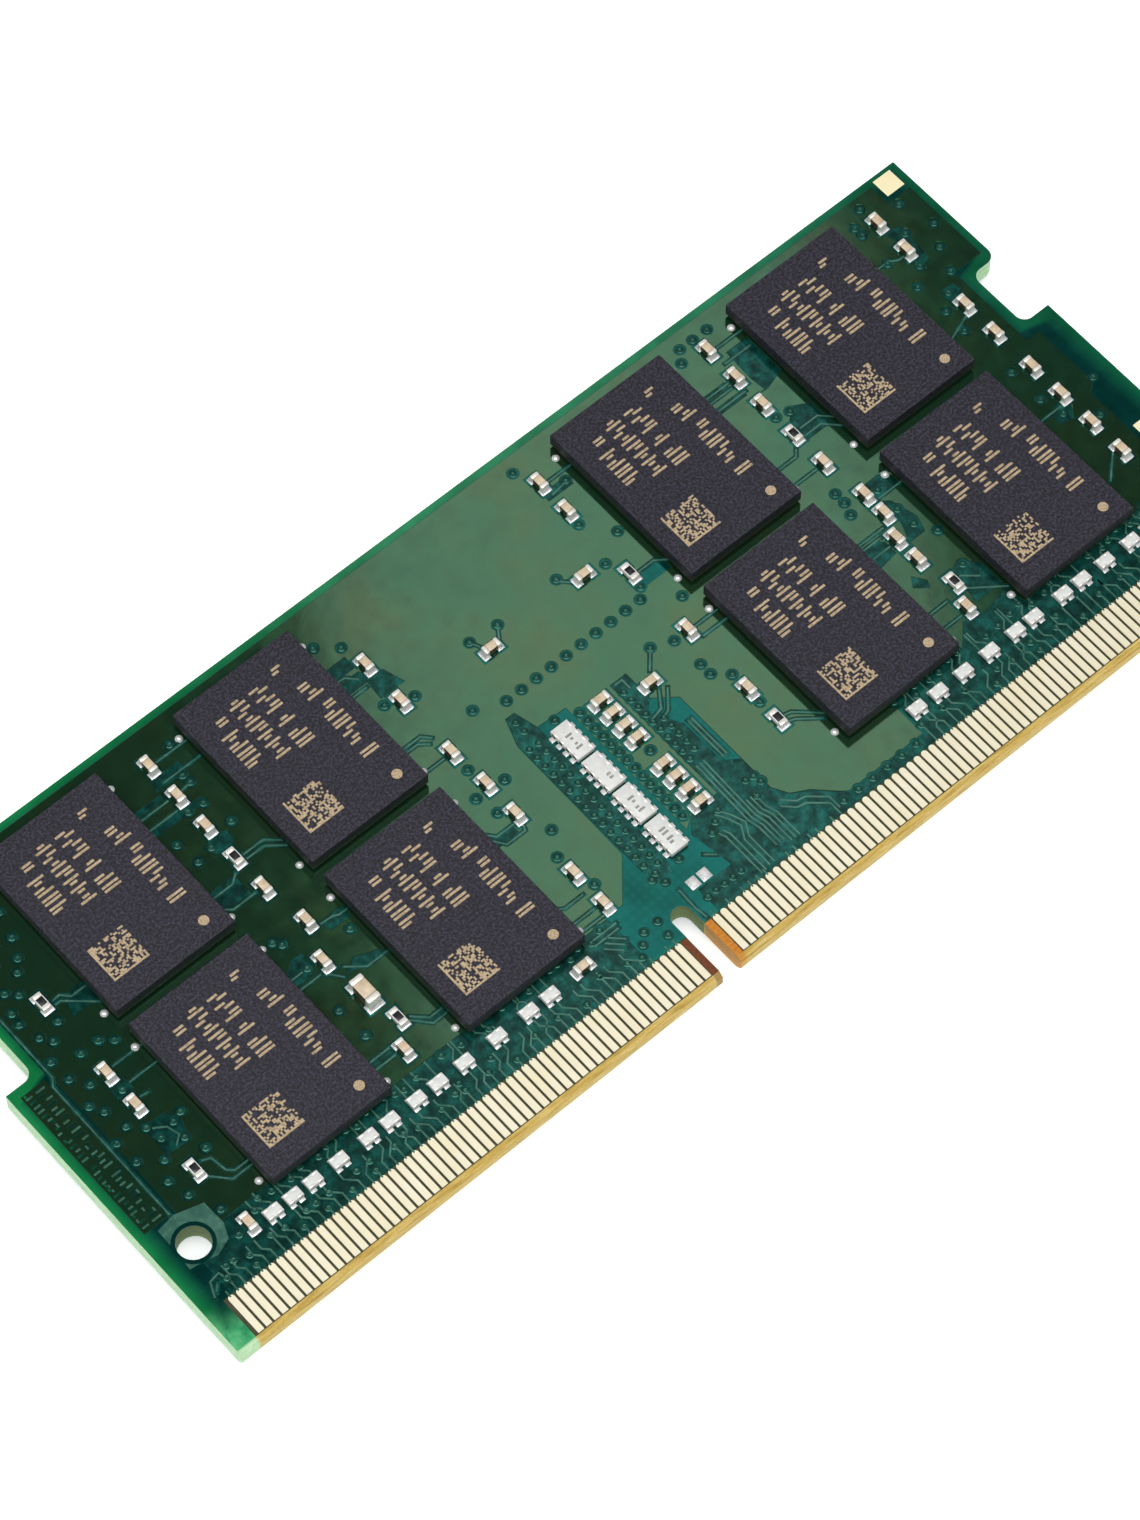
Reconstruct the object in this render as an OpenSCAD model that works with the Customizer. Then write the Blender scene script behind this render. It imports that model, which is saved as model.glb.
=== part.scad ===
// Laptop memory module: 260 edge contacts, memory chips on both faces.
// The board lies flat. +X runs along its length, +Y from the contact edge to the far edge,
// +Z up out of the upper face. The origin is under the middle, on the lower chips' tops.
// Places on the board are given from its left end and its contact edge.

/* [Board] */
// Length of the board
board_w = 69.6; // [69.4:0.1:69.9]
// Height of the board, from contact edge to far edge
board_h = 30; // [29.8:0.1:30.2]
// Thickness of the bare laminate
board_t = 1.2; // [1.1:0.05:1.3]
// Thickness of the solder mask on each face
mask_t = 0.03; // [0.02:0.01:0.04]
// Bevel along the contact edge
edge_bevel = 0.3; // [0.2:0.05:0.35]
// Thickness of each inner copper plane
plane_t = 0.04; // [0.02:0.01:0.06]

/* [Latch notches] */
// Height of a notch's centre above the contact edge
notch_y = 20; // [19.9:0.1:20.1]
// Width of a notch along the end of the board
notch_w = 4; // [3.9:0.1:4.1]
// Depth of a notch into the board
notch_d = 1.75; // [1.6:0.05:1.9]
// Radius of the notch's rounded corners
notch_r = 0.6; // [0.4:0.1:0.8]

/* [Key slot] */
// Centre of the key slot from the left end
key_x = 31.3; // [31.2:0.05:31.4]
// Width of the key slot
key_w = 1.2; // [1:0.1:1.4]
// Depth of the key slot from the contact edge
key_h = 4.3; // [4:0.1:4.4]

/* [Alignment holes] */
// Diameter of the two alignment holes
hole_d = 1.8; // [1.7:0.05:1.9]
// Distance of a hole's centre from the end of the board
hole_inset = 2; // [1.9:0.05:2.1]
// Height of a hole's centre above the contact edge
hole_y = 6; // [5.9:0.05:6.1]

/* [Contacts] */
// Spacing of the contacts
contact_pitch = 0.5; // [0.5:0.01:0.5]
// Width of a contact
contact_w = 0.36; // [0.32:0.01:0.4]
// Length of a contact, with its round end
contact_len = 2.4; // [2.2:0.05:2.5]
// Thickness of a contact
contact_t = 0.04; // [0.03:0.01:0.05]
// Contacts on each face left of the key slot
contacts_left = 58; // [50:1:58]
// Contacts on each face right of the key slot
contacts_right = 72; // [64:1:72]

/* [Memory chips] */
// Width of a chip
chip_w = 7.5; // [7:0.1:8]
// Length of a chip
chip_len = 11; // [10.6:0.1:11.4]
// Height of the solder balls under a chip
ball_h = 0.25; // [0.2:0.01:0.3]
// Thickness of a chip's substrate
substrate_t = 0.2; // [0.15:0.01:0.25]
// Thickness of a chip's moulded cap
cap_t = 0.64; // [0.5:0.01:0.7]

/* [Small parts] */
// Length of a small capacitor or resistor
part_len = 1; // [0.9:0.05:1.1]
// Width of a small capacitor or resistor
part_w = 0.5; // [0.4:0.05:0.55]
// Height of a small capacitor
capacitor_h = 0.5; // [0.4:0.05:0.55]
// Height of a small resistor's ceramic body
resistor_h = 0.3; // [0.25:0.01:0.35]
// Height of a resistor pack or array
array_h = 0.35; // [0.3:0.01:0.45]

/* [Hidden] */
$fn = 48;

// Heights
chip_stack = mask_t + ball_h + substrate_t + cap_t;
board_z = chip_stack;
board_top = board_z + board_t;
laminate_t = board_t / 3;

// Contacts: the key slot stands midway between the two groups
key_gap = 5 * contact_pitch;
left_end_x = key_x - key_gap / 2;
right_start_x = key_x + key_gap / 2;
contact_y0 = edge_bevel + 0.05;
mask_y0 = contact_y0 + contact_len;
mask_end_w = 1.15;

// Copper planes stop short of every edge
plane_inset = 0.8;

// Chips: columns from the left, rows from the contact edge
chip_x = [10.45, 22.9, 48, 60.15];
chip_y = [11.2, 23.1];
ball_d = 0.45;
ball_pitch = 0.8;
ball_rows = 13;
ball_columns = [-4, -3, -2, 2, 3, 4];

// Small parts that stand lengthways along Y, as [x, y] of the centre
capacitors_by_chips = [
    [4.45, 27.55], [4.45, 25.3], [4.45, 15.7], [4.45, 13.45], [4.6, 5],
    [16.7, 27.55], [16.7, 25.3], [16.7, 23.05], [16.7, 18.5],
    [17.1, 15.7], [16.3, 13.45], [16.2, 7.15],
    [28.65, 24.9], [28.65, 22.1], [28.65, 18.2],
    [28.8, 15.7], [28.8, 13.45], [28.8, 9], [28.8, 6.75],
    [42.3, 27.2], [42.3, 25.05], [42.3, 15.7], [42.3, 11.15],
    [54.2, 27.55], [54.2, 25.35], [54.15, 23.2], [54.15, 18.5],
    [54.45, 15.7], [54.45, 14.2], [53.9, 12.7], [53.9, 11.1], [53.85, 7.35],
    [66.25, 27.6], [66.25, 25.35], [66.25, 20.8], [66.25, 18.5],
    [66.25, 15.7], [66.25, 13.5], [66.25, 11.2], [66.25, 8.95]];
resistor_places = [[4.45, 20.75], [4.45, 8.9], [16.7, 20.75], [17.1, 8.65],
    [42.3, 20.15], [42.3, 8.85], [54.15, 20.8], [54.4, 8.85]];
// Small capacitors that lie along X
capacitors_in_middle = [[34.05, 21.4], [40.4, 21.55], [38.8, 14.6], [25.7, 4.75]];
stack_x = 36.2;
stack_pitch = 0.94;
stack_starts = [7.85, 12.65];
capacitors_in_stacks = [for (y = stack_starts) for (i = [0:3]) [stack_x, y + i * stack_pitch]];
capacitors_below_middle = [[37.6, 24.6], [37.6, 20.6], [25.7, 4.75]];

// Two-resistor packs in a row above the contacts
pair_y = 4.65;
pair_x_left = [5.85, 7.1, 8.35, 9.98, 11.85, 13.2, 14.9, 16.27, 17.95, 20.05, 22.1, 23.47];
pair_x_right = [47.95, 49.4, 51.15, 52.95, 54.75, 56, 58.05, 59.35, 61, 62.8, 64.15, 65.4];
pair_places = [for (x = concat(pair_x_left, pair_x_right)) [x, pair_y]];
pair_w = 0.9;
pair_depth = 0.6;
pair_lead_w = 0.3;
pair_lead_x = 0.26;

// Four-resistor arrays in a column
array_x = 33.63;
array_pitch = 2.36;
array_places = [for (i = [0:3]) [array_x, 7.58 + i * array_pitch]];
array_w = 1.1;
array_len = 2.15;
array_lead_pitch = 0.52;
array_lead_w = 0.32;
lead_wrap = 0.14;
lead_lift = 0.02;

// Large capacitor
bulk_place = [16.7, 10.7];
bulk_len = 1.6;
bulk_w = 0.8;
bulk_h = 0.8;

// Ends and lands
end_len = 0.24;
bulk_end_len = 0.35;
coat_t = 0.03;
inner_shrink = 0.02;
land_t = 0.05;
land_len = 0.42;
land_w = 0.66;
land_reach = 0.66;
bulk_land_reach = 1;
bulk_land = [0.55, 1];
pair_land = [0.34, 0.3];
array_land = [0.36, 0.32];
array_land_x = 0.6;
empty_lands = [[32.95, 4.75], [33.68, 4.75]];
empty_land = [0.6, 0.66];

// Gold pads and corner bumps
gold_places = [[68.5, 29.15], [68.4, 9.1]];
gold_w = 1.2;
bump_r = 0.25;
bump_h = 0.16;
bump_out = 0.27;
bump_in = 0.75;

// Configuration chip on the lower face
config_place = [34.8, 22.6];
config_size = [3, 2, 0.7];
config_lead = [0.25, 0.35];
config_lead_y = 0.95;
config_lead_pitch = 0.5;

// Puts its children at a place on the upper face, or on the lower face when side is -1
module on_face(side) {
    if (side > 0)
        translate([-board_w / 2, -board_h / 2, board_top]) children();
    else
        translate([-board_w / 2, -board_h / 2, board_z]) mirror([0, 0, 1]) children();
}

module block(x, y, size, z = 0) {
    translate([x - size[0] / 2, y - size[1] / 2, z]) cube(size);
}

// A latch notch, cut from the left end: square lower lip, rounded everywhere else
module notch_cut(t) {
    overlap = 1;
    half = notch_w / 2;
    difference() {
        union() {
            translate([-overlap, notch_y - half, 0])
                cube([notch_d + overlap - notch_r, notch_w, t]);
            translate([0, notch_y - half + notch_r, 0])
                cube([notch_d, notch_w - 2 * notch_r, t]);
            for (s = [-1, 1])
                translate([notch_d - notch_r, notch_y + s * (half - notch_r), 0])
                    cylinder(r = notch_r, h = t);
            translate([-overlap, notch_y + half - overlap / 2, 0])
                cube([overlap + notch_r, overlap / 2 + notch_r, t]);
        }
        translate([notch_r, notch_y + half + notch_r, -overlap])
            cylinder(r = notch_r, h = t + 2 * overlap);
    }
}

module key_cut(t) {
    translate([key_x - key_w / 2, -1, 0]) cube([key_w, key_h + 1 - key_w / 2, t]);
    translate([key_x, key_h - key_w / 2, 0]) cylinder(d = key_w, h = t);
}

// Everything that is cut through the board, t thick
module board_cuts(t) {
    notch_cut(t);
    translate([board_w, 0, 0]) mirror([1, 0, 0]) notch_cut(t);
    key_cut(t);
    for (x = [hole_inset, board_w - hole_inset])
        translate([x, hole_y, 0]) cylinder(d = hole_d, h = t);
}

// A layer of the board from height z, t thick, with its cuts; low is its lower edge in Y
module board_layer(z, t, low = 0) {
    translate([-board_w / 2, -board_h / 2, z])
        difference() {
            translate([0, low, 0]) cube([board_w, board_h - low, t]);
            translate([0, 0, -1]) board_cuts(t + 2);
        }
}

// A wedge that bevels the contact edge, at height z; side says which face it opens to
module bevel_wedge(z, side) {
    extra = 1;
    translate([-board_w / 2 - extra, -board_h / 2, z])
        rotate([90, 0, 90])
            linear_extrude(board_w + 2 * extra)
                polygon([[-extra, side * extra], [-extra, -side * (edge_bevel + extra)],
                    [edge_bevel + extra, side * extra]]);
}

// A copper plane lies in a pocket of its own shape
module plane(z, grow = 0) {
    inset = plane_inset - grow;
    slot_clear = notch_d + inset;
    translate([-board_w / 2, -board_h / 2, z])
        difference() {
            translate([inset, mask_y0 + inset, 0])
                cube([board_w - 2 * inset, board_h - mask_y0 - 2 * inset, plane_t]);
            for (x = [-1, board_w - slot_clear])
                translate([x, notch_y - notch_w / 2 - inset, -1])
                    cube([slot_clear + 1, notch_w + 2 * inset, plane_t + 2]);
            for (x = [hole_inset, board_w - hole_inset])
                translate([x, hole_y, -1]) cylinder(d = hole_d + 2 * inset, h = plane_t + 2);
            translate([key_x - key_w / 2 - inset, -1, -1])
                cube([key_w + 2 * inset, key_h + inset + 1, plane_t + 2]);
        }
}

ground_z = board_z + laminate_t - plane_t;
supply_z = board_z + 2 * laminate_t - plane_t;

module lower_laminate() {
    color("olivedrab")
        difference() {
            board_layer(board_z, laminate_t);
            bevel_wedge(board_z, -1);
            plane(ground_z, 0);
        }
}

module middle_laminate() {
    color("olivedrab")
        difference() {
            board_layer(board_z + laminate_t, laminate_t);
            plane(supply_z, 0);
        }
}

module upper_laminate() {
    color("olivedrab")
        difference() {
            board_layer(board_z + 2 * laminate_t, laminate_t);
            bevel_wedge(board_top, 1);
        }
}

module ground_plane() { color("peru") plane(ground_z); }
module supply_plane() { color("peru") plane(supply_z); }

// Solder mask: bare along the contacts, and open round every land and gold pad
module solder_mask(side) {
    on_face(side)
        difference() {
            union() {
                translate([0, mask_y0, 0]) cube([board_w, board_h - mask_y0, mask_t]);
                for (x = [0, board_w - mask_end_w])
                    translate([x, edge_bevel, 0]) cube([mask_end_w, board_h / 2, mask_t]);
            }
            translate([0, 0, -1]) board_cuts(mask_t + 2);
            translate([0, 0, -1]) lands(side, mask_t + 2);
            translate([0, 0, -1])
                if (side > 0)
                    gold_squares(mask_t + 2);
                else
                    config_leads(mask_t + 2);
        }
}

module upper_solder_mask() { color("darkgreen") solder_mask(1); }
module lower_solder_mask() { color("darkgreen") solder_mask(-1); }

// One contact: a plate with a round inner end
module contact() {
    translate([-contact_w / 2, 0, 0]) cube([contact_w, contact_len - contact_w / 2, contact_t]);
    translate([0, contact_len - contact_w / 2, 0]) cylinder(d = contact_w, h = contact_t);
}

// A row of contacts from x, stepping by step
module contact_row(side, x, count, step) {
    color("gold")
        on_face(side)
            for (i = [0:count - 1]) translate([x + i * step, contact_y0, 0]) contact();
}

module contacts_left_of_key(side) { contact_row(side, left_end_x, contacts_left, -contact_pitch); }
module contacts_right_of_key(side) { contact_row(side, right_start_x, contacts_right, contact_pitch); }

// Chip number i counts along the row next to the contacts, then along the far row
function chip_place(i) = [chip_x[(i - 1) % 4], chip_y[floor((i - 1) / 4)]];
chip_numbers = [1:8];

// A chip's moulded cap, on its substrate
module chip(side, i) {
    color("dimgray")
        on_face(side)
            block(chip_place(i)[0], chip_place(i)[1], [chip_w, chip_len, cap_t],
                mask_t + ball_h + substrate_t);
}

module chip_substrates(side) {
    color("darkolivegreen")
        on_face(side)
            for (i = chip_numbers)
                block(chip_place(i)[0], chip_place(i)[1], [chip_w, chip_len, substrate_t], mask_t + ball_h);
}

module solder_balls(side) {
    color("silver")
        on_face(side)
            for (i = chip_numbers, c = ball_columns, r = [0:ball_rows - 1])
                translate([chip_place(i)[0] + c * ball_pitch,
                        chip_place(i)[1] + (r - (ball_rows - 1) / 2) * ball_pitch, mask_t])
                    cylinder(d = ball_d, h = ball_h, $fn = 16);
}

// Two-ended parts. Each is drawn along X about its centre, standing on its lands.
module ended_body(len, w, h, ends, inset) {
    translate([-len / 2 + ends, -w / 2 + inset, land_t]) cube([len - 2 * ends, w - 2 * inset, h - inset]);
}

module ended_ends(len, w, h, ends) {
    for (x = [-len / 2, len / 2 - ends]) translate([x, -w / 2, land_t]) cube([ends, w, h]);
}

// Turns children from X to Y at each place
module along_y(places) { for (p = places) translate([p[0], p[1], 0]) rotate(90) children(); }
module along_x(places) { for (p = places) translate([p[0], p[1], 0]) children(); }

// Which small parts a face carries
function capacitors_x(side) =
    side > 0 ? concat(capacitors_in_middle, capacitors_in_stacks) : capacitors_below_middle;

module capacitors(side) {
    color("tan")
        on_face(side) {
            along_y(capacitors_by_chips) ended_body(part_len, part_w, capacitor_h, end_len, inner_shrink);
            along_x(capacitors_x(side)) ended_body(part_len, part_w, capacitor_h, end_len, inner_shrink);
        }
}

module capacitor_ends(side) {
    color("gainsboro")
        on_face(side) {
            along_y(capacitors_by_chips) ended_ends(part_len, part_w, capacitor_h, end_len);
            along_x(capacitors_x(side)) ended_ends(part_len, part_w, capacitor_h, end_len);
        }
}

module bulk_capacitor() {
    color("tan")
        on_face(1)
            along_y([bulk_place]) ended_body(bulk_len, bulk_w, bulk_h, bulk_end_len, inner_shrink);
}

module bulk_capacitor_ends() {
    color("gainsboro")
        on_face(1)
            along_y([bulk_place]) ended_ends(bulk_len, bulk_w, bulk_h, bulk_end_len);
}

module resistors(side) {
    color("white")
        on_face(side)
            along_y(resistor_places) ended_body(part_len, part_w, resistor_h, end_len, 0);
}

module resistor_coats(side) {
    color("black")
        on_face(side)
            along_y(resistor_places)
                translate([-part_len / 2 + end_len, -part_w / 2, land_t + resistor_h])
                    cube([part_len - 2 * end_len, part_w, coat_t]);
}

module resistor_ends(side) {
    color("gainsboro")
        on_face(side)
            along_y(resistor_places) ended_ends(part_len, part_w, resistor_h + coat_t, end_len);
}

// Packs and arrays: a ceramic block with a lead wrapped over the edge at each terminal
module pair_leads() {
    for (x = [-pair_lead_x, pair_lead_x], s = [-1, 1])
        block(x, s * (pair_depth - lead_wrap) / 2, [pair_lead_w, lead_wrap, array_h + lead_lift], land_t);
}

module pair_body() { block(0, 0, [pair_w, pair_depth, array_h], land_t); }

module array_leads() {
    for (i = [-1.5:1:1.5], s = [-1, 1])
        block(s * (array_w - lead_wrap) / 2, i * array_lead_pitch,
            [lead_wrap, array_lead_w, array_h + lead_lift], land_t);
}

module array_body() { block(0, 0, [array_w, array_len, array_h], land_t); }

module resistor_pairs(side) {
    color("white")
        on_face(side)
            along_x(pair_places)
                difference() {
                    pair_body();
                    pair_leads();
                }
}

module resistor_pair_ends(side) { color("gainsboro") on_face(side) along_x(pair_places) pair_leads(); }

module resistor_arrays() {
    color("white")
        on_face(1)
            along_x(array_places)
                difference() {
                    array_body();
                    array_leads();
                }
}

module resistor_array_ends() { color("gainsboro") on_face(1) along_x(array_places) array_leads(); }

// Lands under every small part on a face, t thick
module two_lands(t, reach, len, w) {
    for (s = [-1, 1]) block(s * (reach - len / 2), 0, [len, w, t]);
}

module lands(side, t) {
    along_y(concat(capacitors_by_chips, resistor_places)) two_lands(t, land_reach, land_len, land_w);
    along_x(capacitors_x(side)) two_lands(t, land_reach, land_len, land_w);
    along_x(pair_places)
        for (x = [-pair_lead_x, pair_lead_x], s = [-1, 1])
            block(x, s * pair_depth / 2, [pair_land[0], pair_land[1], t]);
    if (side > 0) {
        along_y([bulk_place]) two_lands(t, bulk_land_reach, bulk_land[0], bulk_land[1]);
        along_x(array_places)
            for (i = [-1.5:1:1.5], s = [-1, 1])
                block(s * array_land_x, i * array_lead_pitch, [array_land[0], array_land[1], t]);
        for (p = empty_lands) block(p[0], p[1], [empty_land[0], empty_land[1], t]);
    }
}

module upper_solder_lands() { color("silver") on_face(1) lands(1, land_t); }
module lower_solder_lands() { color("silver") on_face(-1) lands(-1, land_t); }

module gold_squares(t) { for (p = gold_places) block(p[0], p[1], [gold_w, gold_w, t]); }
module gold_pads() { color("gold") on_face(1) gold_squares(contact_t); }

// Small domes of solder beside each chip's corners
module corner_bumps(side) {
    color("white")
        on_face(side)
            for (i = chip_numbers, sx = [-1, 1], sy = [-1, 1])
                translate([chip_place(i)[0] + sx * (chip_w / 2 + bump_out),
                        chip_place(i)[1] + sy * (chip_len / 2 - bump_in), mask_t])
                    intersection() {
                        translate([0, 0, bump_h - bump_r]) sphere(r = bump_r);
                        translate([-bump_r, -bump_r, 0]) cube(2 * bump_r);
                    }
}

// Configuration chip: body on two rows of leads
module config_leads(t) {
    for (i = [-1.5:1:1.5], s = [-1, 1])
        block(config_place[0] + i * config_lead_pitch, config_place[1] + s * config_lead_y,
            [config_lead[0], config_lead[1], t]);
}

module configuration_chip_leads() { color("silver") on_face(-1) config_leads(land_t); }

module configuration_chip() {
    color("dimgray") on_face(-1) block(config_place[0], config_place[1], config_size, land_t);
}

lower_laminate();
middle_laminate();
upper_laminate();
ground_plane();
supply_plane();
upper_solder_mask();
lower_solder_mask();
contacts_left_of_key(1);  // upper_contacts_left
contacts_right_of_key(1);  // upper_contacts_right
contacts_left_of_key(-1);  // lower_contacts_left
contacts_right_of_key(-1);  // lower_contacts_right
chip(1, 1);  // upper_chip_1
chip(1, 2);  // upper_chip_2
chip(1, 3);  // upper_chip_3
chip(1, 4);  // upper_chip_4
chip(1, 5);  // upper_chip_5
chip(1, 6);  // upper_chip_6
chip(1, 7);  // upper_chip_7
chip(1, 8);  // upper_chip_8
chip(-1, 1);  // lower_chip_1
chip(-1, 2);  // lower_chip_2
chip(-1, 3);  // lower_chip_3
chip(-1, 4);  // lower_chip_4
chip(-1, 5);  // lower_chip_5
chip(-1, 6);  // lower_chip_6
chip(-1, 7);  // lower_chip_7
chip(-1, 8);  // lower_chip_8
chip_substrates(1);  // upper_chip_substrates
chip_substrates(-1);  // lower_chip_substrates
solder_balls(1);  // upper_solder_balls
solder_balls(-1);  // lower_solder_balls
capacitors(1);  // upper_capacitors
capacitor_ends(1);  // upper_capacitor_ends
capacitors(-1);  // lower_capacitors
capacitor_ends(-1);  // lower_capacitor_ends
bulk_capacitor();
bulk_capacitor_ends();
resistors(1);  // upper_resistors
resistor_coats(1);  // upper_resistor_coats
resistor_ends(1);  // upper_resistor_ends
resistors(-1);  // lower_resistors
resistor_coats(-1);  // lower_resistor_coats
resistor_ends(-1);  // lower_resistor_ends
resistor_pairs(1);  // upper_resistor_pairs
resistor_pair_ends(1);  // upper_resistor_pair_ends
resistor_pairs(-1);  // lower_resistor_pairs
resistor_pair_ends(-1);  // lower_resistor_pair_ends
resistor_arrays();
resistor_array_ends();
upper_solder_lands();
lower_solder_lands();
gold_pads();
corner_bumps(1);  // upper_corner_bumps
corner_bumps(-1);  // lower_corner_bumps
configuration_chip();
configuration_chip_leads();
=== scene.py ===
"""Laptop memory module on a light table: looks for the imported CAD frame.

Places on the board are in millimetres from its left end and its contact edge, as they are in
the CAD. Heights are in metres in the part's frame. Every small part is built on the box of its
own CAD solid, so nothing here repeats the CAD's lists of small parts.
"""
import math
import random
from functools import lru_cache

import bmesh
import bpy
from mathutils import Matrix, Vector
from mathutils.geometry import delaunay_2d_cdt


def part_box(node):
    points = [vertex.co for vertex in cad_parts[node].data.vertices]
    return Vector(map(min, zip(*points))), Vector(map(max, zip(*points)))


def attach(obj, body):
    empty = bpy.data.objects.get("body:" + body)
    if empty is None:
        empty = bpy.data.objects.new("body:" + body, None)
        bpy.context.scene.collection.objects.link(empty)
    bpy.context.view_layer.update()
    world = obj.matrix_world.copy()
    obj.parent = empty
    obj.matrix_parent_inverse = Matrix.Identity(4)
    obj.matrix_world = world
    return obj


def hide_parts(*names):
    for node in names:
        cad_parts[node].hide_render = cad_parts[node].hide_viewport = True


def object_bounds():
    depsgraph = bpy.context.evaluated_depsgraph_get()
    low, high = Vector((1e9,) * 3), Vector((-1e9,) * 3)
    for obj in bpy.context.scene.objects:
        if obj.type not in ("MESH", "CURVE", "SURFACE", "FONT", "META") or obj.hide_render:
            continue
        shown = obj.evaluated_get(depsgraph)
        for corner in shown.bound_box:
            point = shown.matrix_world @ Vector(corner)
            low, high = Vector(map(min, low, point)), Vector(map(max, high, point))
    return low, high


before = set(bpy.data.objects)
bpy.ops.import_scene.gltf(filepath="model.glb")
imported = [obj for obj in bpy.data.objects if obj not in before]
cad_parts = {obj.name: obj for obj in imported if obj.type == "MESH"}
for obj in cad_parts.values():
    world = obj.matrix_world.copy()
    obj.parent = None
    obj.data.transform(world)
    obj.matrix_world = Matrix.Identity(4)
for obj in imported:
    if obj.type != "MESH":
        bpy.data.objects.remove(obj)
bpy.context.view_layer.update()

MM = 0.001
BODY = "root"
SEED = 7
UPPER = 1
LOWER = -1
FACE_NAME = {UPPER: "upper", LOWER: "lower"}

# ---------------------------------------------------------------- places on the board

BOARD_LOW, BOARD_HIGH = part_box("middle_laminate")
BOARD_W, BOARD_H = ((high - low) / MM for low, high in zip(BOARD_LOW[:2], BOARD_HIGH[:2]))
# Heights of the outer surfaces of the solder mask
MASK_LEVEL = {UPPER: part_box("upper_solder_mask")[1][2], LOWER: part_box("lower_solder_mask")[0][2]}
# Where the board is open, and the room that the copper leaves there: the alignment holes,
# the key slot and the latch notches
DRILLED = [(2.0, 6.0), (67.6, 6.0)]
DRILLED_R = 1.15
KEY_PLACE = 31.3
KEY_W = 1.2
KEY_TOP = 4.3
KEY_CLEAR = 0.16
NOTCH_CLEAR = [(-0.5, 17.55, 2.2, 22.45), (67.4, 17.55, 70.1, 22.45)]


def on_board(x, y):
    """A place given in millimetres from the board's left end and contact edge, in metres."""
    return BOARD_LOW[0] + x * MM, BOARD_LOW[1] + y * MM


def to_board(x, y):
    """The reverse of on_board."""
    return (x - BOARD_LOW[0]) / MM, (y - BOARD_LOW[1]) / MM


@lru_cache(maxsize=None)
def solids(node):
    """The box of each separate solid in a CAD node, as (centre, size), left to right."""
    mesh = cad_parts[node].data
    index = {}
    owner = [index.setdefault(tuple(round(c * 1e7) for c in v.co), len(index)) for v in mesh.vertices]
    parent = list(range(len(index)))

    def root(i):
        while parent[i] != i:
            parent[i] = parent[parent[i]]
            i = parent[i]
        return i

    for p in mesh.polygons:
        first = root(owner[p.vertices[0]])
        for i in p.vertices[1:]:
            parent[root(owner[i])] = first
    groups = {}
    for v in mesh.vertices:
        groups.setdefault(root(owner[v.index]), []).append(v.co)
    found = []
    for places in groups.values():
        low, high = ([pick(axis) for axis in zip(*places)] for pick in (min, max))
        found.append((Vector([(a + b) / 2 for a, b in zip(low, high)]),
                      Vector([b - a for a, b in zip(low, high)])))
    return sorted(found, key=lambda s: [round(c, 6) for c in s[0]])


# ---------------------------------------------------------------- shape building


def outward(faces, side):
    """The faces, turned over on the lower face so that they still look outward."""
    return [tuple(reversed(f)) for f in faces] if side == LOWER else faces


class Shape:
    """Collects vertices and faces, in metres, and becomes one piece."""

    def __init__(self):
        self.verts = []
        self.faces = []

    def add(self, verts, faces):
        base = len(self.verts)
        self.verts.extend(tuple(v) for v in verts)
        self.faces.extend(tuple(base + i for i in f) for f in faces)

    def moved(self, mesh, place, side=UPPER):
        """Adds a ready mesh at a place, mirrored in Z on the lower face."""
        verts, faces = mesh
        out = [(place[0] + x, place[1] + y, place[2] + side * z) for x, y, z in verts]
        self.add(out, outward(faces, side))

    def piece(self, name, material, slot, smooth=None, replaces=()):
        """Makes the object. smooth is the greatest angle in degrees that is shaded round."""
        mesh = bpy.data.meshes.new(name)
        mesh.from_pydata(self.verts, [], self.faces)
        mesh.validate()
        mesh.update()
        mesh.materials.append(material)
        obj = bpy.data.objects.new(name, mesh)
        bpy.context.scene.collection.objects.link(obj)
        if smooth is not None:
            mesh.polygons.foreach_set("use_smooth", [True] * len(mesh.polygons))
            mesh.set_sharp_from_angle(angle=math.radians(smooth))
        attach(obj, BODY)
        if replaces:
            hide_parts(*replaces)


@lru_cache(maxsize=None)
def rounded_box(x, y, z, radius, segments=2):
    """A box of that size about the origin, with every edge rounded."""
    bm = bmesh.new()
    bmesh.ops.create_cube(bm, size=1)
    bmesh.ops.scale(bm, vec=(x, y, z), verts=bm.verts)
    bmesh.ops.bevel(bm, geom=bm.edges[:], offset=radius, segments=segments, profile=0.5, affect="EDGES")
    bm.verts.ensure_lookup_table()
    verts = [tuple(v.co) for v in bm.verts]
    faces = [tuple(v.index for v in f.verts) for f in bm.faces]
    bm.free()
    return verts, faces


def circle_outline(x, y, r, steps):
    turns = [math.tau * k / steps for k in range(steps)]
    return [(x + r * math.cos(a), y + r * math.sin(a)) for a in turns]


def rect_outline(x0, y0, x1, y1):
    return [(x0, y0), (x1, y0), (x1, y1), (x0, y1)]


@lru_cache(maxsize=None)
def lathe(profile, steps):
    """An open surface of revolution about Z, from (radius, height) pairs, top first."""
    verts, faces, rings = [], [], []
    for r, z in profile:
        if r == 0:
            rings.append([len(verts)] * steps)
            verts.append((0, 0, z))
        else:
            rings.append(list(range(len(verts), len(verts) + steps)))
            verts.extend((*p, z) for p in circle_outline(0, 0, r, steps))
    for upper, lower in zip(rings, rings[1:]):
        for k in range(steps):
            n = (k + 1) % steps
            faces.append(tuple(dict.fromkeys([upper[k], lower[k], lower[n], upper[n]])))
    return verts, faces


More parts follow.
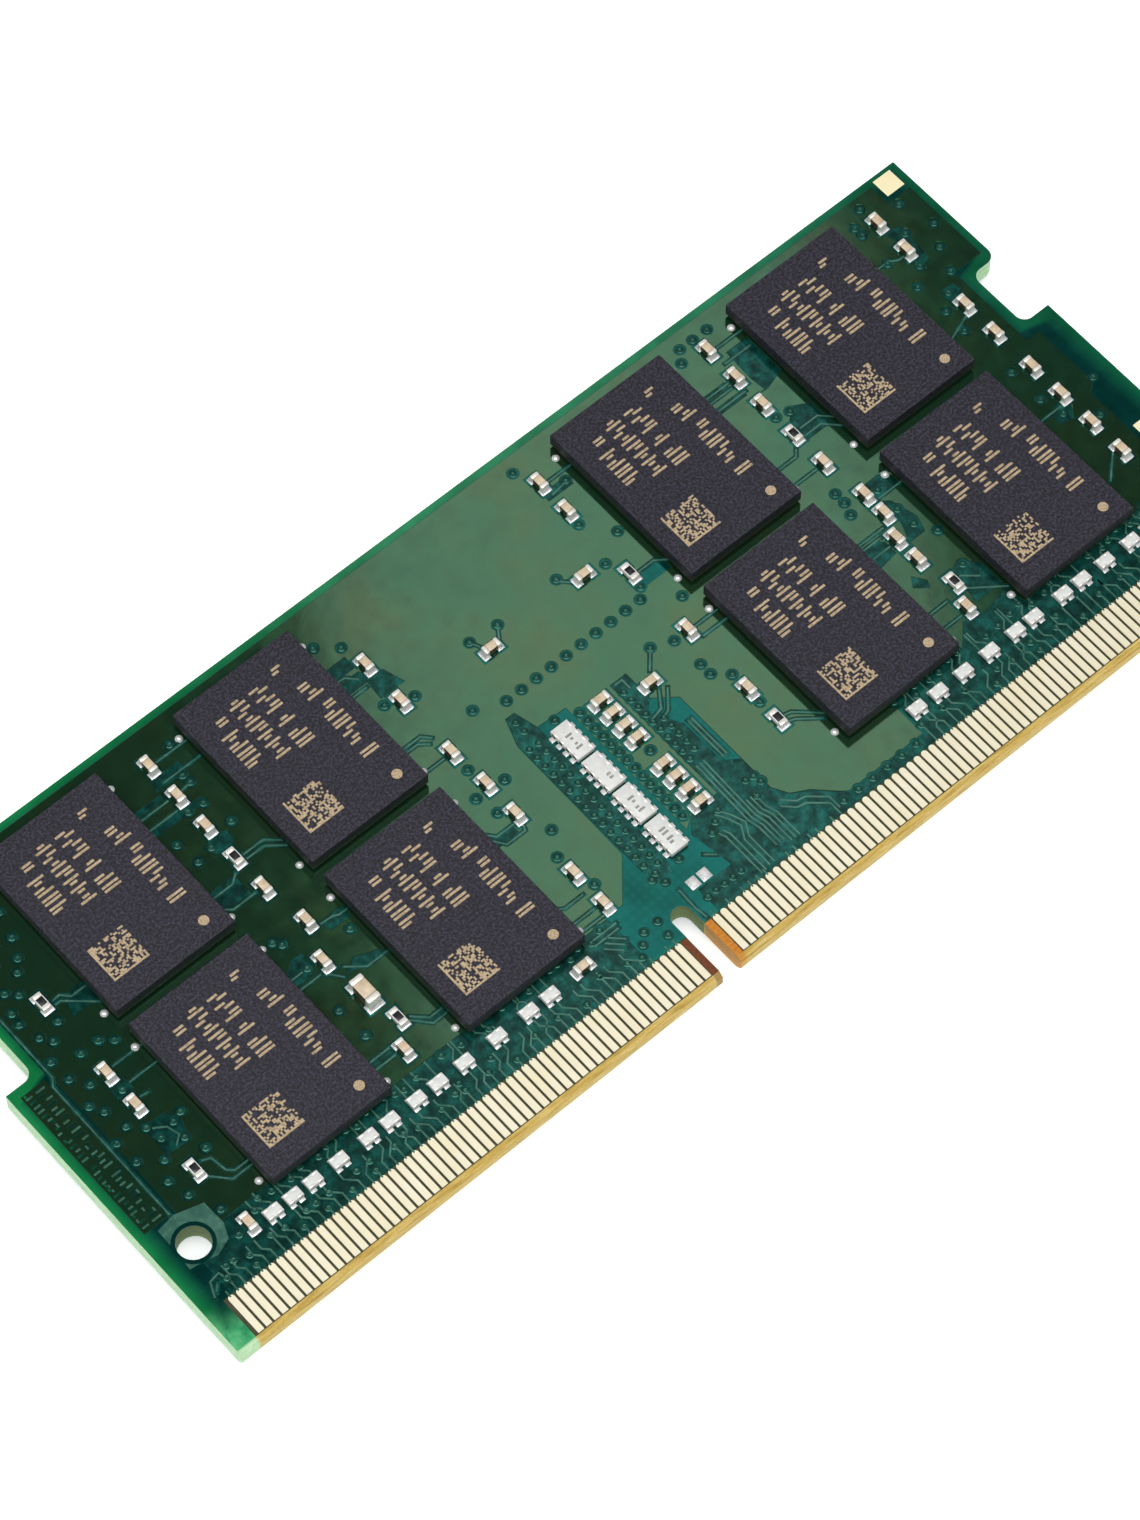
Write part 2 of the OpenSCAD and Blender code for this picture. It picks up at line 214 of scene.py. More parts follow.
def walls(levels):
    """The underside and the walls of a stack of four-cornered loops."""
    return [(3, 2, 1, 0)] + [(4 * i + k, 4 * i + (k + 1) % 4, 4 * i + 4 + (k + 1) % 4, 4 * i + 4 + k)
                             for i in range(levels - 1) for k in range(4)]


def offsets(points):
    """For each point of an open line, the unit sideways vector that keeps a band's width."""
    sideways = []
    for i, p in enumerate(points):
        before = points[max(i - 1, 0)]
        after = points[min(i + 1, len(points) - 1)]
        normals = []
        for a, b in ((before, p), (p, after)):
            d = Vector((b[0] - a[0], b[1] - a[1]))
            if d.length > 0:
                d.normalize()
                normals.append(Vector((-d.y, d.x)))
        n = sum(normals, Vector((0, 0)))
        n.normalize()
        sideways.append(n / max(n.dot(normals[0]), 0.5))
    return sideways


def band_outline(points, half):
    """Outline of a band round an open line of board places, with square ends half past the line."""
    start, end = Vector(points[0]), Vector(points[-1])
    first = (start - Vector(points[1])).normalized()
    last = (end - Vector(points[-2])).normalized()
    line = [start + first * half, *[Vector(p) for p in points[1:-1]], end + last * half]
    side = offsets(line)
    left = [tuple(p + n * half) for p, n in zip(line, side)]
    right = [tuple(p - n * half) for p, n in zip(line, side)]
    return left + right[::-1]


def triangles(outlines, least):
    """Cuts the area round some outlines into triangles, as (places, faces)."""
    points, edges = [], []
    for outline in outlines:
        base = len(points)
        points.extend(Vector(p) for p in outline)
        edges.extend((base + i, base + (i + 1) % len(outline)) for i in range(len(outline)))
    places, _, faces, _, _, _ = delaunay_2d_cdt(points, edges, [], 0, least)
    return places, faces


def boxed(outlines):
    """Each outline with its box (x0, y0, x1, y1)."""
    return [(o, tuple(pick(axis) for pick in (min, max) for axis in zip(*o))) for o in outlines]


def inside(p, fields):
    """Whether a board place is inside any of the boxed outlines."""
    x, y = p
    for outline, box in fields:
        if not (box[0] <= x <= box[2] and box[1] <= y <= box[3]):
            continue
        hit = False
        for (xa, ya), (xb, yb) in zip(outline, outline[1:] + outline[:1]):
            if (ya > y) != (yb > y) and x < xa + (y - ya) * (xb - xa) / (yb - ya):
                hit = not hit
        if hit:
            return True
    return False


def ribbon(shape, side, points, width, height, slope):
    """A raised track on a face: a flat top and sloping sides. Sizes and places in millimetres."""
    base = MASK_LEVEL[side]
    top = base + side * height * MM
    half = width / 2
    verts, faces = [], []
    for p, n in zip(points, offsets(points)):
        for reach, z in ((half + slope, base), (half, top), (-half, top), (-half - slope, base)):
            verts.append((*on_board(p[0] + n.x * reach, p[1] + n.y * reach), z))
    for a in range(4 * len(points) - 4):
        if a % 4 < 3:
            faces.append((a, a + 1, a + 5, a + 4))
    last = 4 * (len(points) - 1)
    faces += [(3, 2, 1, 0), (last, last + 1, last + 2, last + 3)]
    shape.add(verts, outward(faces, -side))


def pour(shape, side, outlines, holes, height, slope):
    """A raised sheet on a face that fills the outlines and leaves out the holes."""
    fills, cuts = boxed(outlines), boxed(holes)
    verts, faces = triangles(outlines + holes, 1e-5)
    kept = []
    for f in faces:
        centre = sum((verts[i] for i in f), Vector((0, 0))) / len(f)
        if inside(centre, fills) and not inside(centre, cuts):
            kept.append(f)
    sides = dict.fromkeys(e for f in kept for e in zip(f, f[1:] + f[:1]))
    rim = [e for e in sides if (e[1], e[0]) not in sides]
    away = {}
    for a, b in rim:
        d = verts[b] - verts[a]
        n = Vector((d.y, -d.x)).normalized()
        for i in (a, b):
            away[i] = away.get(i, Vector((0, 0))) + n
    base = MASK_LEVEL[side]
    top = base + side * height * MM
    out, crest, foot = [], {}, {}
    for i in sorted({i for f in kept for i in f}):
        crest[i] = len(out)
        out.append((*on_board(*verts[i]), top))
    for i, n in away.items():
        n = n.normalized() if n.length > 1e-6 else Vector((0, 0))
        foot[i] = len(out)
        out.append((*on_board(*(verts[i] + n * slope)), base))
    faces = [tuple(crest[i] for i in f) for f in kept]
    faces += [(crest[a], foot[a], foot[b], crest[b]) for a, b in rim]
    shape.add(out, outward(faces, side))


# ---------------------------------------------------------------- materials


def colour(r, g, b):
    """A linear colour from 0 to 255 display values."""
    return (*[v / 255 / 12.92 if v <= 10 else ((v / 255 + 0.055) / 1.055) ** 2.4 for v in (r, g, b)], 1.0)


class Recipe:
    """One node material under construction. Patterns are fixed to the part, in millimetres."""

    def __init__(self, name, **sockets):
        self.material = bpy.data.materials.new(name)
        self.material.use_nodes = True
        self.tree = self.material.node_tree
        self.tree.nodes.clear()
        output = self.node("ShaderNodeOutputMaterial")
        self.shader = self.node("ShaderNodeBsdfPrincipled")
        self.join(self.shader.outputs["BSDF"], output.inputs["Surface"])
        self.where = self.node("ShaderNodeTexCoord").outputs["Object"]
        for socket, value in sockets.items():
            self.shader.inputs[socket.replace("_", " ")].default_value = value

    def node(self, kind, values=(), **properties):
        """A node with its properties, and its inputs set or joined from (key, value) pairs."""
        n = self.tree.nodes.new(kind)
        for key, value in properties.items():
            setattr(n, key, value)
        for key, value in values:
            if isinstance(value, (int, float, tuple)):
                n.inputs[key].default_value = value
            else:
                self.join(value, n.inputs[key])
        return n

    def join(self, a, b):
        self.tree.links.new(a, b)

    def feed(self, socket, source):
        self.join(source, self.shader.inputs[socket])

    def stretched(self, factors):
        """The place on the part, with each axis scaled."""
        values = ((0, self.where), (1, factors))
        return self.node("ShaderNodeVectorMath", values, operation="MULTIPLY").outputs[0]

    def noise(self, per_mm, detail=2.0, roughness=0.5, along=None):
        where = self.stretched(along) if along else self.where
        return self.node("ShaderNodeTexNoise", (("Scale", per_mm / MM), ("Detail", detail),
                                                ("Roughness", roughness), ("Vector", where))).outputs["Fac"]

    def cells(self, per_mm):
        """Distance to the nearest of many scattered points, 0 at the point."""
        values = (("Scale", per_mm / MM), ("Vector", self.where))
        return self.node("ShaderNodeTexVoronoi", values).outputs["Distance"]

    def wave(self, per_mm, axis):
        """Even stripes across an axis, from 0 to 1."""
        scale = per_mm / MM / (20 / math.tau)
        return self.node("ShaderNodeTexWave", (("Scale", scale), ("Distortion", 0.6), ("Vector", self.where)),
                         bands_direction=axis).outputs["Fac"]

    def ramp(self, factor, *stops):
        """A colour from a factor, through (position, colour) stops."""
        n = self.node("ShaderNodeValToRGB", (("Fac", factor),))
        elements = n.color_ramp.elements
        while len(elements) < len(stops):
            elements.new(0.5)
        for e, (position, value) in zip(elements, stops):
            e.position, e.color = position, value
        return n.outputs["Color"]

    def tone(self, factor, low, high):
        """A colour that runs between two as a pattern does."""
        return self.ramp(factor, (0.3, low), (0.7, high))

    def spread(self, value, low, high, to_low, to_high):
        """Maps a value from one range to another, held at the ends."""
        return self.node("ShaderNodeMapRange", (
            ("Value", value), ("From Min", low), ("From Max", high),
            ("To Min", to_low), ("To Max", to_high))).outputs["Result"]

    def rough(self, pattern, low, high):
        """Feeds a roughness that runs between two values as a pattern does."""
        self.feed("Roughness", self.spread(pattern, 0.3, 0.7, low, high))

    def blend(self, factor, a, b):
        return self.node("ShaderNodeMix", ((0, factor), (6, a), (7, b)), data_type="RGBA").outputs[2]

    def maths(self, operation, a, b=0.0):
        return self.node("ShaderNodeMath", ((0, a), (1, b)), operation=operation).outputs[0]

    def product(self, a, b):
        return self.maths("MULTIPLY", a, b)

    def magnitude(self, value):
        return self.maths("ABSOLUTE", value)

    def axes(self):
        """Distances from the part's middle along X, Y and Z, in millimetres."""
        return self.node("ShaderNodeSeparateXYZ", ((0, self.stretched((1 / MM, 1 / MM, 1 / MM))),)).outputs

    def levelness(self):
        """1 on faces that lie flat, 0 on upright walls."""
        normal = self.node("ShaderNodeNewGeometry").outputs["True Normal"]
        return self.magnitude(self.node("ShaderNodeSeparateXYZ", ((0, normal),)).outputs[2])

    def in_range(self, value, low, high, soft=0.02):
        """1 where a value is between two limits, 0 elsewhere."""
        return self.product(self.spread(value, low - soft, low + soft, 0.0, 1.0),
                            self.spread(value, high - soft, high + soft, 1.0, 0.0))

    def bump(self, *layers):
        """Relief from (height, depth in mm) layers."""
        below = None
        for height, depth in layers:
            n = self.node("ShaderNodeBump", (("Strength", 1.0), ("Distance", depth * MM), ("Height", height)))
            if below:
                self.join(below, n.inputs["Normal"])
            below = n.outputs["Normal"]
        self.feed("Normal", below)


# Places that the board's materials follow, in millimetres from its middle
HALF_W = BOARD_W / 2
HALF_H = BOARD_H / 2
NOTCH_Y = (3.0, 7.0)
NOTCH_DEPTH = 1.75
PLANE_INSET = 0.8
MASK_START = 2.75 - HALF_H
STRIP_X = HALF_W - 1.15
KEY_X = KEY_PLACE - HALF_W
KEY_REACH = 1.0
SLOT_END = 4.6 - HALF_H
HOLE_REACH_X = (HALF_W - 3.4, HALF_W - 0.7)
HOLE_REACH_Y = (4.6 - HALF_H, 7.4 - HALF_H)


def rim_distance(m):
    """Distance in millimetres from the nearest end or the long edge, the notches' walls included."""
    x, y, _ = m.axes()
    notch = m.product(m.in_range(y, NOTCH_Y[0] - 0.5, NOTCH_Y[1] + 0.5, 0.3), NOTCH_DEPTH)
    from_end = m.maths("SUBTRACT", m.maths("SUBTRACT", HALF_W, m.magnitude(x)), notch)
    return m.maths("MINIMUM", from_end, m.maths("SUBTRACT", HALF_H, y))


def mask_over_laminate():
    """Green resist over bare laminate: deep blue-green, and bright green past the inner planes, partly a
    painted glow of light through the edge that fades towards the right end.
    """
    m = Recipe("mask_over_laminate", Specular_IOR_Level=0.3)
    x, y, _ = m.axes()
    patches = m.noise(0.35, 3.0)
    cloth = m.spread(m.product(m.wave(2.3, "X"), m.wave(2.1, "Y")), 0, 1, 0, 0.3)
    deep = m.tone(patches, (0.003, 0.070, 0.058, 1), (0.005, 0.105, 0.092, 1))
    inner = m.blend(cloth, deep, (0.008, 0.125, 0.10, 1))
    corner = m.spread(y, MASK_START - 1.6, MASK_START + 0.2, 1.0, 0.0)
    # Painted light: the rim's glow is full at the left end and half at the right, as if lit from the left
    edge = m.product(m.spread(rim_distance(m), 0.15, PLANE_INSET + 0.25, 1.0, 0.0),
                     m.spread(x, -HALF_W, HALF_W, 1.0, 0.5))
    rim = m.maths("MAXIMUM", edge, corner)
    # The rim's bright green: the resist's own colour where no plane lies under it, with a painted glow of
    # light through the edge
    glow = m.tone(patches, (0.004, 0.16, 0.042, 1), (0.012, 0.25, 0.075, 1))
    pale = m.ramp(m.noise(1.2, 3.0, 0.6), (0.35, (0.03, 0.30, 0.12, 1)), (0.65, (0.14, 0.56, 0.24, 1)))
    m.feed("Base Color", m.blend(rim, inner, m.blend(corner, glow, pale)))
    m.feed("Metallic", m.spread(rim, 0.0, 1.0, 0.78, 0.1))
    m.rough(m.noise(1.1), 0.08, 0.16)
    m.bump((m.noise(0.3), 0.009), (m.noise(1.4), 0.0016), (m.noise(9), 0.0005))
    return m.material


def mask_over_copper():
    """Green resist over a sheet of copper: dark and metallic, with olive patches."""
    m = Recipe("mask_over_copper", Metallic=0.78, Specular_IOR_Level=0.3,
               Coat_Weight=0.6, Coat_Roughness=0.07)
    patches = m.ramp(m.noise(0.22, 3.0, 0.55), (0.32, (0.018, 0.096, 0.044, 1)),
                     (0.52, (0.026, 0.098, 0.042, 1)), (0.72, (0.040, 0.096, 0.036, 1)))
    speckle = m.spread(m.noise(6, 3.0), 0.3, 0.7, 0.0, 0.15)
    m.feed("Base Color", m.blend(speckle, patches, (0.01, 0.05, 0.025, 1)))
    m.rough(m.noise(0.9), 0.07, 0.14)
    m.bump((m.noise(0.3), 0.009), (m.noise(1.2), 0.0014), (m.noise(10), 0.0005))
    return m.material


def laminate():
    """Glass cloth in resin: amber where it is bare, tinted green and painted pale with light on edges next to
    the resist, with painted shade in the holes, in the slot and partly between the contacts.
    """
    m = Recipe("laminate", Specular_IOR_Level=0.45, Subsurface_Weight=0.15, Subsurface_Scale=0.0004)
    x, y, _ = m.axes()
    across = m.magnitude(x)
    plies = m.noise(0.9, 3.0, 0.6, along=(0.6, 0.6, 9))
    fibres = m.noise(7, 2.0, 0.5, along=(1, 1, 4))
    by_key = m.in_range(x, KEY_X - KEY_REACH, KEY_X + KEY_REACH)

    amber = m.ramp(plies, (0.25, colour(166, 130, 40)), (0.5, colour(208, 176, 88)),
                   (0.8, colour(232, 210, 142)))
    # Pale green for walls next to the resist: the resist's tint, painted pale for the light table's light
    # shining through the edge
    green = m.ramp(plies, (0.25, colour(128, 190, 132)), (0.5, colour(184, 222, 176)),
                   (0.8, colour(222, 238, 208)))
    near_mask = m.maths("MAXIMUM", m.spread(y, MASK_START - 0.1, MASK_START + 0.1, 0.0, 1.0),
                        m.spread(across, STRIP_X - 0.1, STRIP_X + 0.1, 0.0, 1.0))
    # Painted shade: the walls inside the alignment holes and the key slot above the contacts turn dark olive,
    # for the shadow in them
    drilled = m.product(m.in_range(across, *HOLE_REACH_X), m.in_range(y, *HOLE_REACH_Y))
    wall_shade = m.maths("MAXIMUM", drilled, m.product(by_key, m.in_range(y, MASK_START, SLOT_END)))
    edge = m.blend(wall_shade, m.blend(near_mask, amber, green),
                   m.tone(plies, colour(70, 84, 34), colour(118, 142, 70)))
    weave = m.blend(near_mask, colour(104, 88, 40), colour(96, 150, 96))
    edge = m.blend(m.spread(fibres, 0.35, 0.7, 0, 0.3), edge, weave)

    tongue = m.product(by_key, m.spread(y, MASK_START - 0.1, MASK_START, 1.0, 0.0))
    # By the key slot below the resist: brown to the left of the slot and bright amber to the right, on faces
    # and in part on walls
    slot_tone = m.blend(m.spread(x, KEY_X - 0.1, KEY_X + 0.1, 0.0, 1.0),
                       m.tone(fibres, colour(84, 40, 12), colour(128, 66, 20)),
                       m.tone(fibres, colour(180, 104, 20), colour(214, 142, 36)))
    # Flat faces: dark olive, partly the bare laminate's own colour and partly painted shade cast by the
    # contacts' walls
    face = m.blend(tongue, m.tone(fibres, colour(44, 46, 26), colour(74, 70, 38)), slot_tone)
    edge = m.blend(m.product(tongue, 0.55), edge, slot_tone)
    m.feed("Base Color", m.blend(m.spread(m.levelness(), 0.97, 0.99, 0.0, 1.0), edge, face))
    m.rough(fibres, 0.45, 0.7)
    m.bump((fibres, 0.012), (plies, 0.01))
    return m.material


def gold(name, low, high, metallic):
    """Gold plating over nickel: pale, satin, with fine wiping scratches along Y and faint stains."""
    m = Recipe(name, Metallic=metallic, Specular_IOR_Level=0.6)
    scratches = m.noise(16, 2.0, 0.5, along=(1, 0.05, 1))
    stains = m.tone(m.noise(0.5, 3.0, 0.6), low, high)
    m.feed("Base Color", m.blend(m.spread(scratches, 0.45, 0.75, 0, 0.25), stains, colour(240, 222, 170)))
    m.rough(scratches, 0.28, 0.46)
    m.bump((scratches, 0.0007), (m.noise(3), 0.001))
    return m.material


def moulding():
    """Black moulding compound: charcoal with a violet cast, blasted, with pale filler grains."""
    m = Recipe("moulding", Specular_IOR_Level=0.42)
    grain = m.noise(7, 4.0, 0.75)
    shade = m.tone(m.noise(0.25), colour(14, 14, 21), colour(20, 18, 22))
    dusty = m.blend(m.spread(grain, 0.45, 0.6, 0.0, 0.85), shade, colour(64, 61, 78))
    fleck = m.product(m.spread(m.cells(6), 0.0, 0.2, 0.6, 0.0), m.spread(grain, 0.4, 0.7, 0, 1))
    m.feed("Base Color", m.blend(fleck, dusty, colour(96, 94, 108)))
    m.rough(grain, 0.46, 0.7)
    m.bump((grain, 0.016), (m.noise(3.2), 0.006))
    return m.material


def ceramic(name, low, high, rough, wall_shade):
    """Fired ceramic: fine even grain with a faint mottle, and a given colour on the upright sides, a painted
    shade where it is darker than the top.
    """
    m = Recipe(name, Specular_IOR_Level=0.5, Subsurface_Weight=0.08, Subsurface_Scale=0.0001)
    mottle = m.noise(3, 4.0, 0.6)
    upright = m.spread(m.levelness(), 0.2, 0.6, 1.0, 0.0)
    m.feed("Base Color", m.blend(upright, m.tone(mottle, low, high), wall_shade))
    m.rough(m.noise(9), rough - 0.07, rough + 0.07)
    m.bump((mottle, 0.003), (m.noise(12), 0.0015))
    return m.material


def mottled(name, pattern, stops, rough_pattern, rough, relief, **sockets):
    """A mottled colour, a mottled roughness and fine relief.

    Each pattern holds the arguments of Recipe.noise, and relief is (pattern, depth in mm) layers.
    """
    m = Recipe(name, **sockets)
    m.feed("Base Color", m.ramp(m.noise(*pattern), *stops))
    m.rough(m.noise(*rough_pattern), *rough)
    if relief:
        m.bump(*((m.noise(*p), depth) for p, depth in relief))
    return m.material


def tin(name, low, high, metallic, rough):
    """Tin and solder: bright grey with a fine frosted grain."""
    grain = (14, 3.0, 0.6)
    return mottled(name, (2.4, 3.0), [(0.3, low), (0.7, high)], grain, (rough - 0.09, rough + 0.09),
                   [(grain, 0.002), ((4,), 0.005)], Metallic=metallic, Specular_IOR_Level=0.6)


FLOOR_GLOW = 0.5
LAMINATE_MASK = mask_over_laminate()
COPPER_MASK = mask_over_copper()
LAMINATE = laminate()
# Green resist over narrow tracks: paler, partly where it runs thin over their edges and partly a painted
# highlight for the light their rounded tops catch
TRACK_MASK = mottled("mask_over_tracks", (1.5,),
                     [(0.3, (0.03, 0.125, 0.09, 1)), (0.7, (0.075, 0.21, 0.155, 1))],
                     (3,), (0.16, 0.3), [((5,), 0.001)], Metallic=0.35, Specular_IOR_Level=0.5)
# Resist between close copper features: very dark green, as little light comes back
GAP_MASK = mottled("mask_in_gaps", (1.6, 4.0, 0.65),
                   [(0.36, (0.002, 0.030, 0.024, 1)), (0.5, (0.003, 0.056, 0.045, 1)),
                    (0.66, (0.007, 0.115, 0.095, 1))],
                   (3,), (0.12, 0.26), [((3,), 0.005)], Metallic=0.5, Specular_IOR_Level=0.3)
# Resist over the ring of a plated hole: a little lighter than the gap round it
VIA_MASK = mottled("mask_over_vias", (4,), [(0.3, (0.009, 0.066, 0.046, 1)), (0.7, (0.024, 0.115, 0.080, 1))],
                   (6,), (0.15, 0.3), [((8,), 0.002)], Metallic=0.6, Specular_IOR_Level=0.4)
# The resist plug in a plated hole, coloured lighter as a painted highlight for the light it catches
WELL = mottled("via_well", (4,), [(0.3, (0.008, 0.075, 0.056, 1)), (0.7, (0.02, 0.13, 0.10, 1))],
               (6,), (0.15, 0.35), [((8,), 0.002)], Metallic=0.3, Specular_IOR_Level=0.6)
# A copper plane between plies, dull and lightly oxidised
INNER_COPPER = mottled("inner_copper", (2, 3.0), [(0.3, colour(150, 88, 52)), (0.7, colour(196, 122, 78))],
                       (5,), (0.35, 0.55), [((12,), 0.001)], Metallic=1.0)
CONTACT_GOLD = gold("contact_gold", colour(250, 240, 206), colour(255, 248, 224), 0.3)
PAD_GOLD = gold("pad_gold", colour(255, 240, 188), colour(255, 248, 208), 0.05)
MOULDING = moulding()
# Laser-bleached moulding compound: pale tan and broken up by the grain
LASER_MARK = mottled("laser_mark", (12, 3.0, 0.6),
                     [(0.3, colour(120, 104, 84)), (0.5, colour(186, 164, 132)),
                      (0.75, colour(214, 194, 160))],
                     (12, 3.0, 0.6), (0.6, 0.85), [((12, 3.0, 0.6), 0.006)], Specular_IOR_Level=0.3)
# The chip's thin circuit board: dark green-brown resist on its edge and underside
SUBSTRATE = mottled("substrate", (3, 3.0, 0.5, (1, 1, 5)),
                    [(0.3, colour(24, 34, 22)), (0.7, colour(58, 54, 30))],
                    (6,), (0.4, 0.6), [((9,), 0.004)], Specular_IOR_Level=0.4)
BALL_TIN = tin("ball_tin", colour(150, 152, 156), colour(190, 192, 196), 0.9, 0.3)
END_TIN = tin("end_tin", colour(246, 240, 228), colour(255, 252, 244), 0.4, 0.36)
SOLDER = tin("solder", colour(222, 224, 224), colour(248, 248, 246), 0.5, 0.3)
# Capacitor ceramic, its upright sides painted dark brown as shade, though the real sides are the same tan as
# the top
CAPACITOR_CERAMIC = ceramic("capacitor_ceramic", colour(198, 176, 146), colour(226, 208, 180), 0.42,
                            colour(66, 50, 36))
WHITE_CERAMIC = ceramic("white_ceramic", colour(218, 217, 214), colour(232, 232, 228), 0.4,
                        colour(232, 232, 228))
# The black glass coat on a resistor: glossy and slightly uneven
GLAZE = mottled("resistor_glaze", (4, 3.0), [(0.3, colour(16, 18, 20)), (0.7, colour(38, 38, 40))],
                (5,), (0.25, 0.42), [((3,), 0.006)], Specular_IOR_Level=0.5)
# Faint grey printing on white ceramic, thin where the grain shows through
GREY_PRINT = mottled("grey_print", (14, 3.0, 0.6),
                     [(0.3, colour(118, 116, 112)), (0.7, colour(176, 174, 168))],
                     (14, 3.0, 0.6), (0.5, 0.7), [((14, 3.0, 0.6), 0.002)], Specular_IOR_Level=0.35)
# Matt white paper, faintly lit from below as on a light table
FLOOR_PAPER = mottled("floor_paper", (0.4, 4.0), [(0.3, (0.86, 0.86, 0.86, 1)), (0.7, (0.9, 0.9, 0.9, 1))],
                      (1,), (0.8, 0.95), [], Specular_IOR_Level=0.2, Emission_Color=(1, 1, 1, 1),
                      Emission_Strength=FLOOR_GLOW)

for material, nodes in (
    (LAMINATE, ("lower_laminate", "middle_laminate", "upper_laminate")),
    (INNER_COPPER, ("ground_plane", "supply_plane")),
    (LAMINATE_MASK, ("upper_solder_mask", "lower_solder_mask")),
    (CONTACT_GOLD, [f"{face}_contacts_{half}" for face in FACE_NAME.values() for half in ("left", "right")]),
    (PAD_GOLD, ("gold_pads",)),
    (SUBSTRATE, ("upper_chip_substrates", "lower_chip_substrates")),
):
    for node in nodes:
        for material_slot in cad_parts[node].material_slots:
            material_slot.material = material


# ---------------------------------------------------------------- chips

CHIPS = 8
CHIP_EDGE = 0.035 * MM
DIMPLE = (6.35, 1.05)
DIMPLE_R = 0.33
DIMPLE_DEPTH = 0.02 * MM
DIMPLE_STEPS = 24
MARK_LIFT = 0.006 * MM
# Rows of marks, in millimetres from the chip's corner: x from, x to, y from, y to
MARK_ROWS = [(0.95, 1.95, 6.1, 10.0), (2.35, 3.3, 5.6, 10.0), (3.65, 4.65, 5.35, 9.95),
             (5.7, 6.7, 2.8, 8.2), (5.0, 5.9, 9.4, 10.0)]
# The square of cells: its corner and width in millimetres, and how many cells it has each way
MATRIX = (0.95, 1.3, 2.2)
MATRIX_CELLS = 20


def chip_body(side, centre, size):
    """A moulded cap with fine chamfered edges and a shallow dimple at one corner of its face."""
    x0, y0 = centre.x - size.x / 2, centre.y - size.y / 2
    x1, y1 = centre.x + size.x / 2, centre.y + size.y / 2
    face = centre.z + side * size.z / 2
    levels = ((0, centre.z - side * size.z / 2), (0, face - side * CHIP_EDGE),
              (CHIP_EDGE * 0.3, face - side * CHIP_EDGE * 0.3), (CHIP_EDGE, face))
    verts = [(*p, z) for inset, z in levels
             for p in rect_outline(x0 + inset, y0 + inset, x1 - inset, y1 - inset)]
    faces = walls(len(levels))
    corners = len(verts) - 4
    rim = len(verts)
    floor = rim + DIMPLE_STEPS
    cx, cy = x0 + DIMPLE[0] * MM, y0 + DIMPLE[1] * MM
    circle = circle_outline(cx, cy, DIMPLE_R * MM, DIMPLE_STEPS)
    in_mm = [[Vector(p[:2]) * (1 / MM) for p in loop] for loop in (verts[corners:], circle)]
    _, cells = triangles(in_mm, 1e-6)
    faces += [tuple(corners + i for i in cell) for cell in cells if min(cell) < 4]
    verts.extend((x, y, face) for x, y in circle)
    verts.extend((cx + (x - cx) * 0.9, cy + (y - cy) * 0.9, face - side * DIMPLE_DEPTH) for x, y in circle)
    for k in range(DIMPLE_STEPS):
        n = (k + 1) % DIMPLE_STEPS
        faces.append((rim + k, rim + n, floor + n, floor + k))
    faces.append(tuple(range(floor, floor + DIMPLE_STEPS)))
    return verts, outward(faces, side)


def plate(shape, side, corner, box, z, lift):
    """A thin plate on a face. Its box is in millimetres from a corner given in metres."""
    edges = [corner[k % 2] + v * MM for k, v in enumerate(box)]
    verts = [(*p, h) for h in (z, z + side * lift) for p in rect_outline(*edges)]
    faces = [(4, 5, 6, 7), (0, 1, 5, 4), (1, 2, 6, 5), (2, 3, 7, 6), (3, 0, 4, 7)]
    shape.add(verts, outward(faces, side))


def tally_marks(rng, low, high, start, end):
    """A row of generic tally strokes, in pairs at the pitch of printed figures, with a few gaps."""
    stroke, step, pitch = 0.14, 0.24, 0.6
    spans = {"long": (0, 1), "upper": (0, 0.6), "lower": (0.4, 1), "short": (0.28, 0.72)}
    boxes = []
    y = start
    while y + step + stroke <= end:
        for k in (0, 1):
            a, b = spans[rng.choice(("long", "long", "upper", "lower", "short"))]
            foot = y + k * step
            boxes.append((low + a * (high - low), foot, low + b * (high - low), foot + stroke))
        y += pitch * (1.6 if rng.random() < 0.12 else 1)
    return boxes


def matrix_marks(rng):
    """A square of random cells with two solid borders, as boxes in millimetres."""
    x0, y0, width = MATRIX
    cell = width / MATRIX_CELLS
    boxes = []
    for row in range(MATRIX_CELLS):
        low, high = y0 + row * cell, y0 + (row + 1) * cell * 0.999
        run = None
        for column in range(MATRIX_CELLS + 1):
            on = column < MATRIX_CELLS and (row == 0 or column == 0 or rng.random() < 0.46)
            if on and run is None:
                run = column
            if not on and run is not None:
                boxes.append((x0 + run * cell, low, x0 + column * cell, high))
                run = None
    return boxes


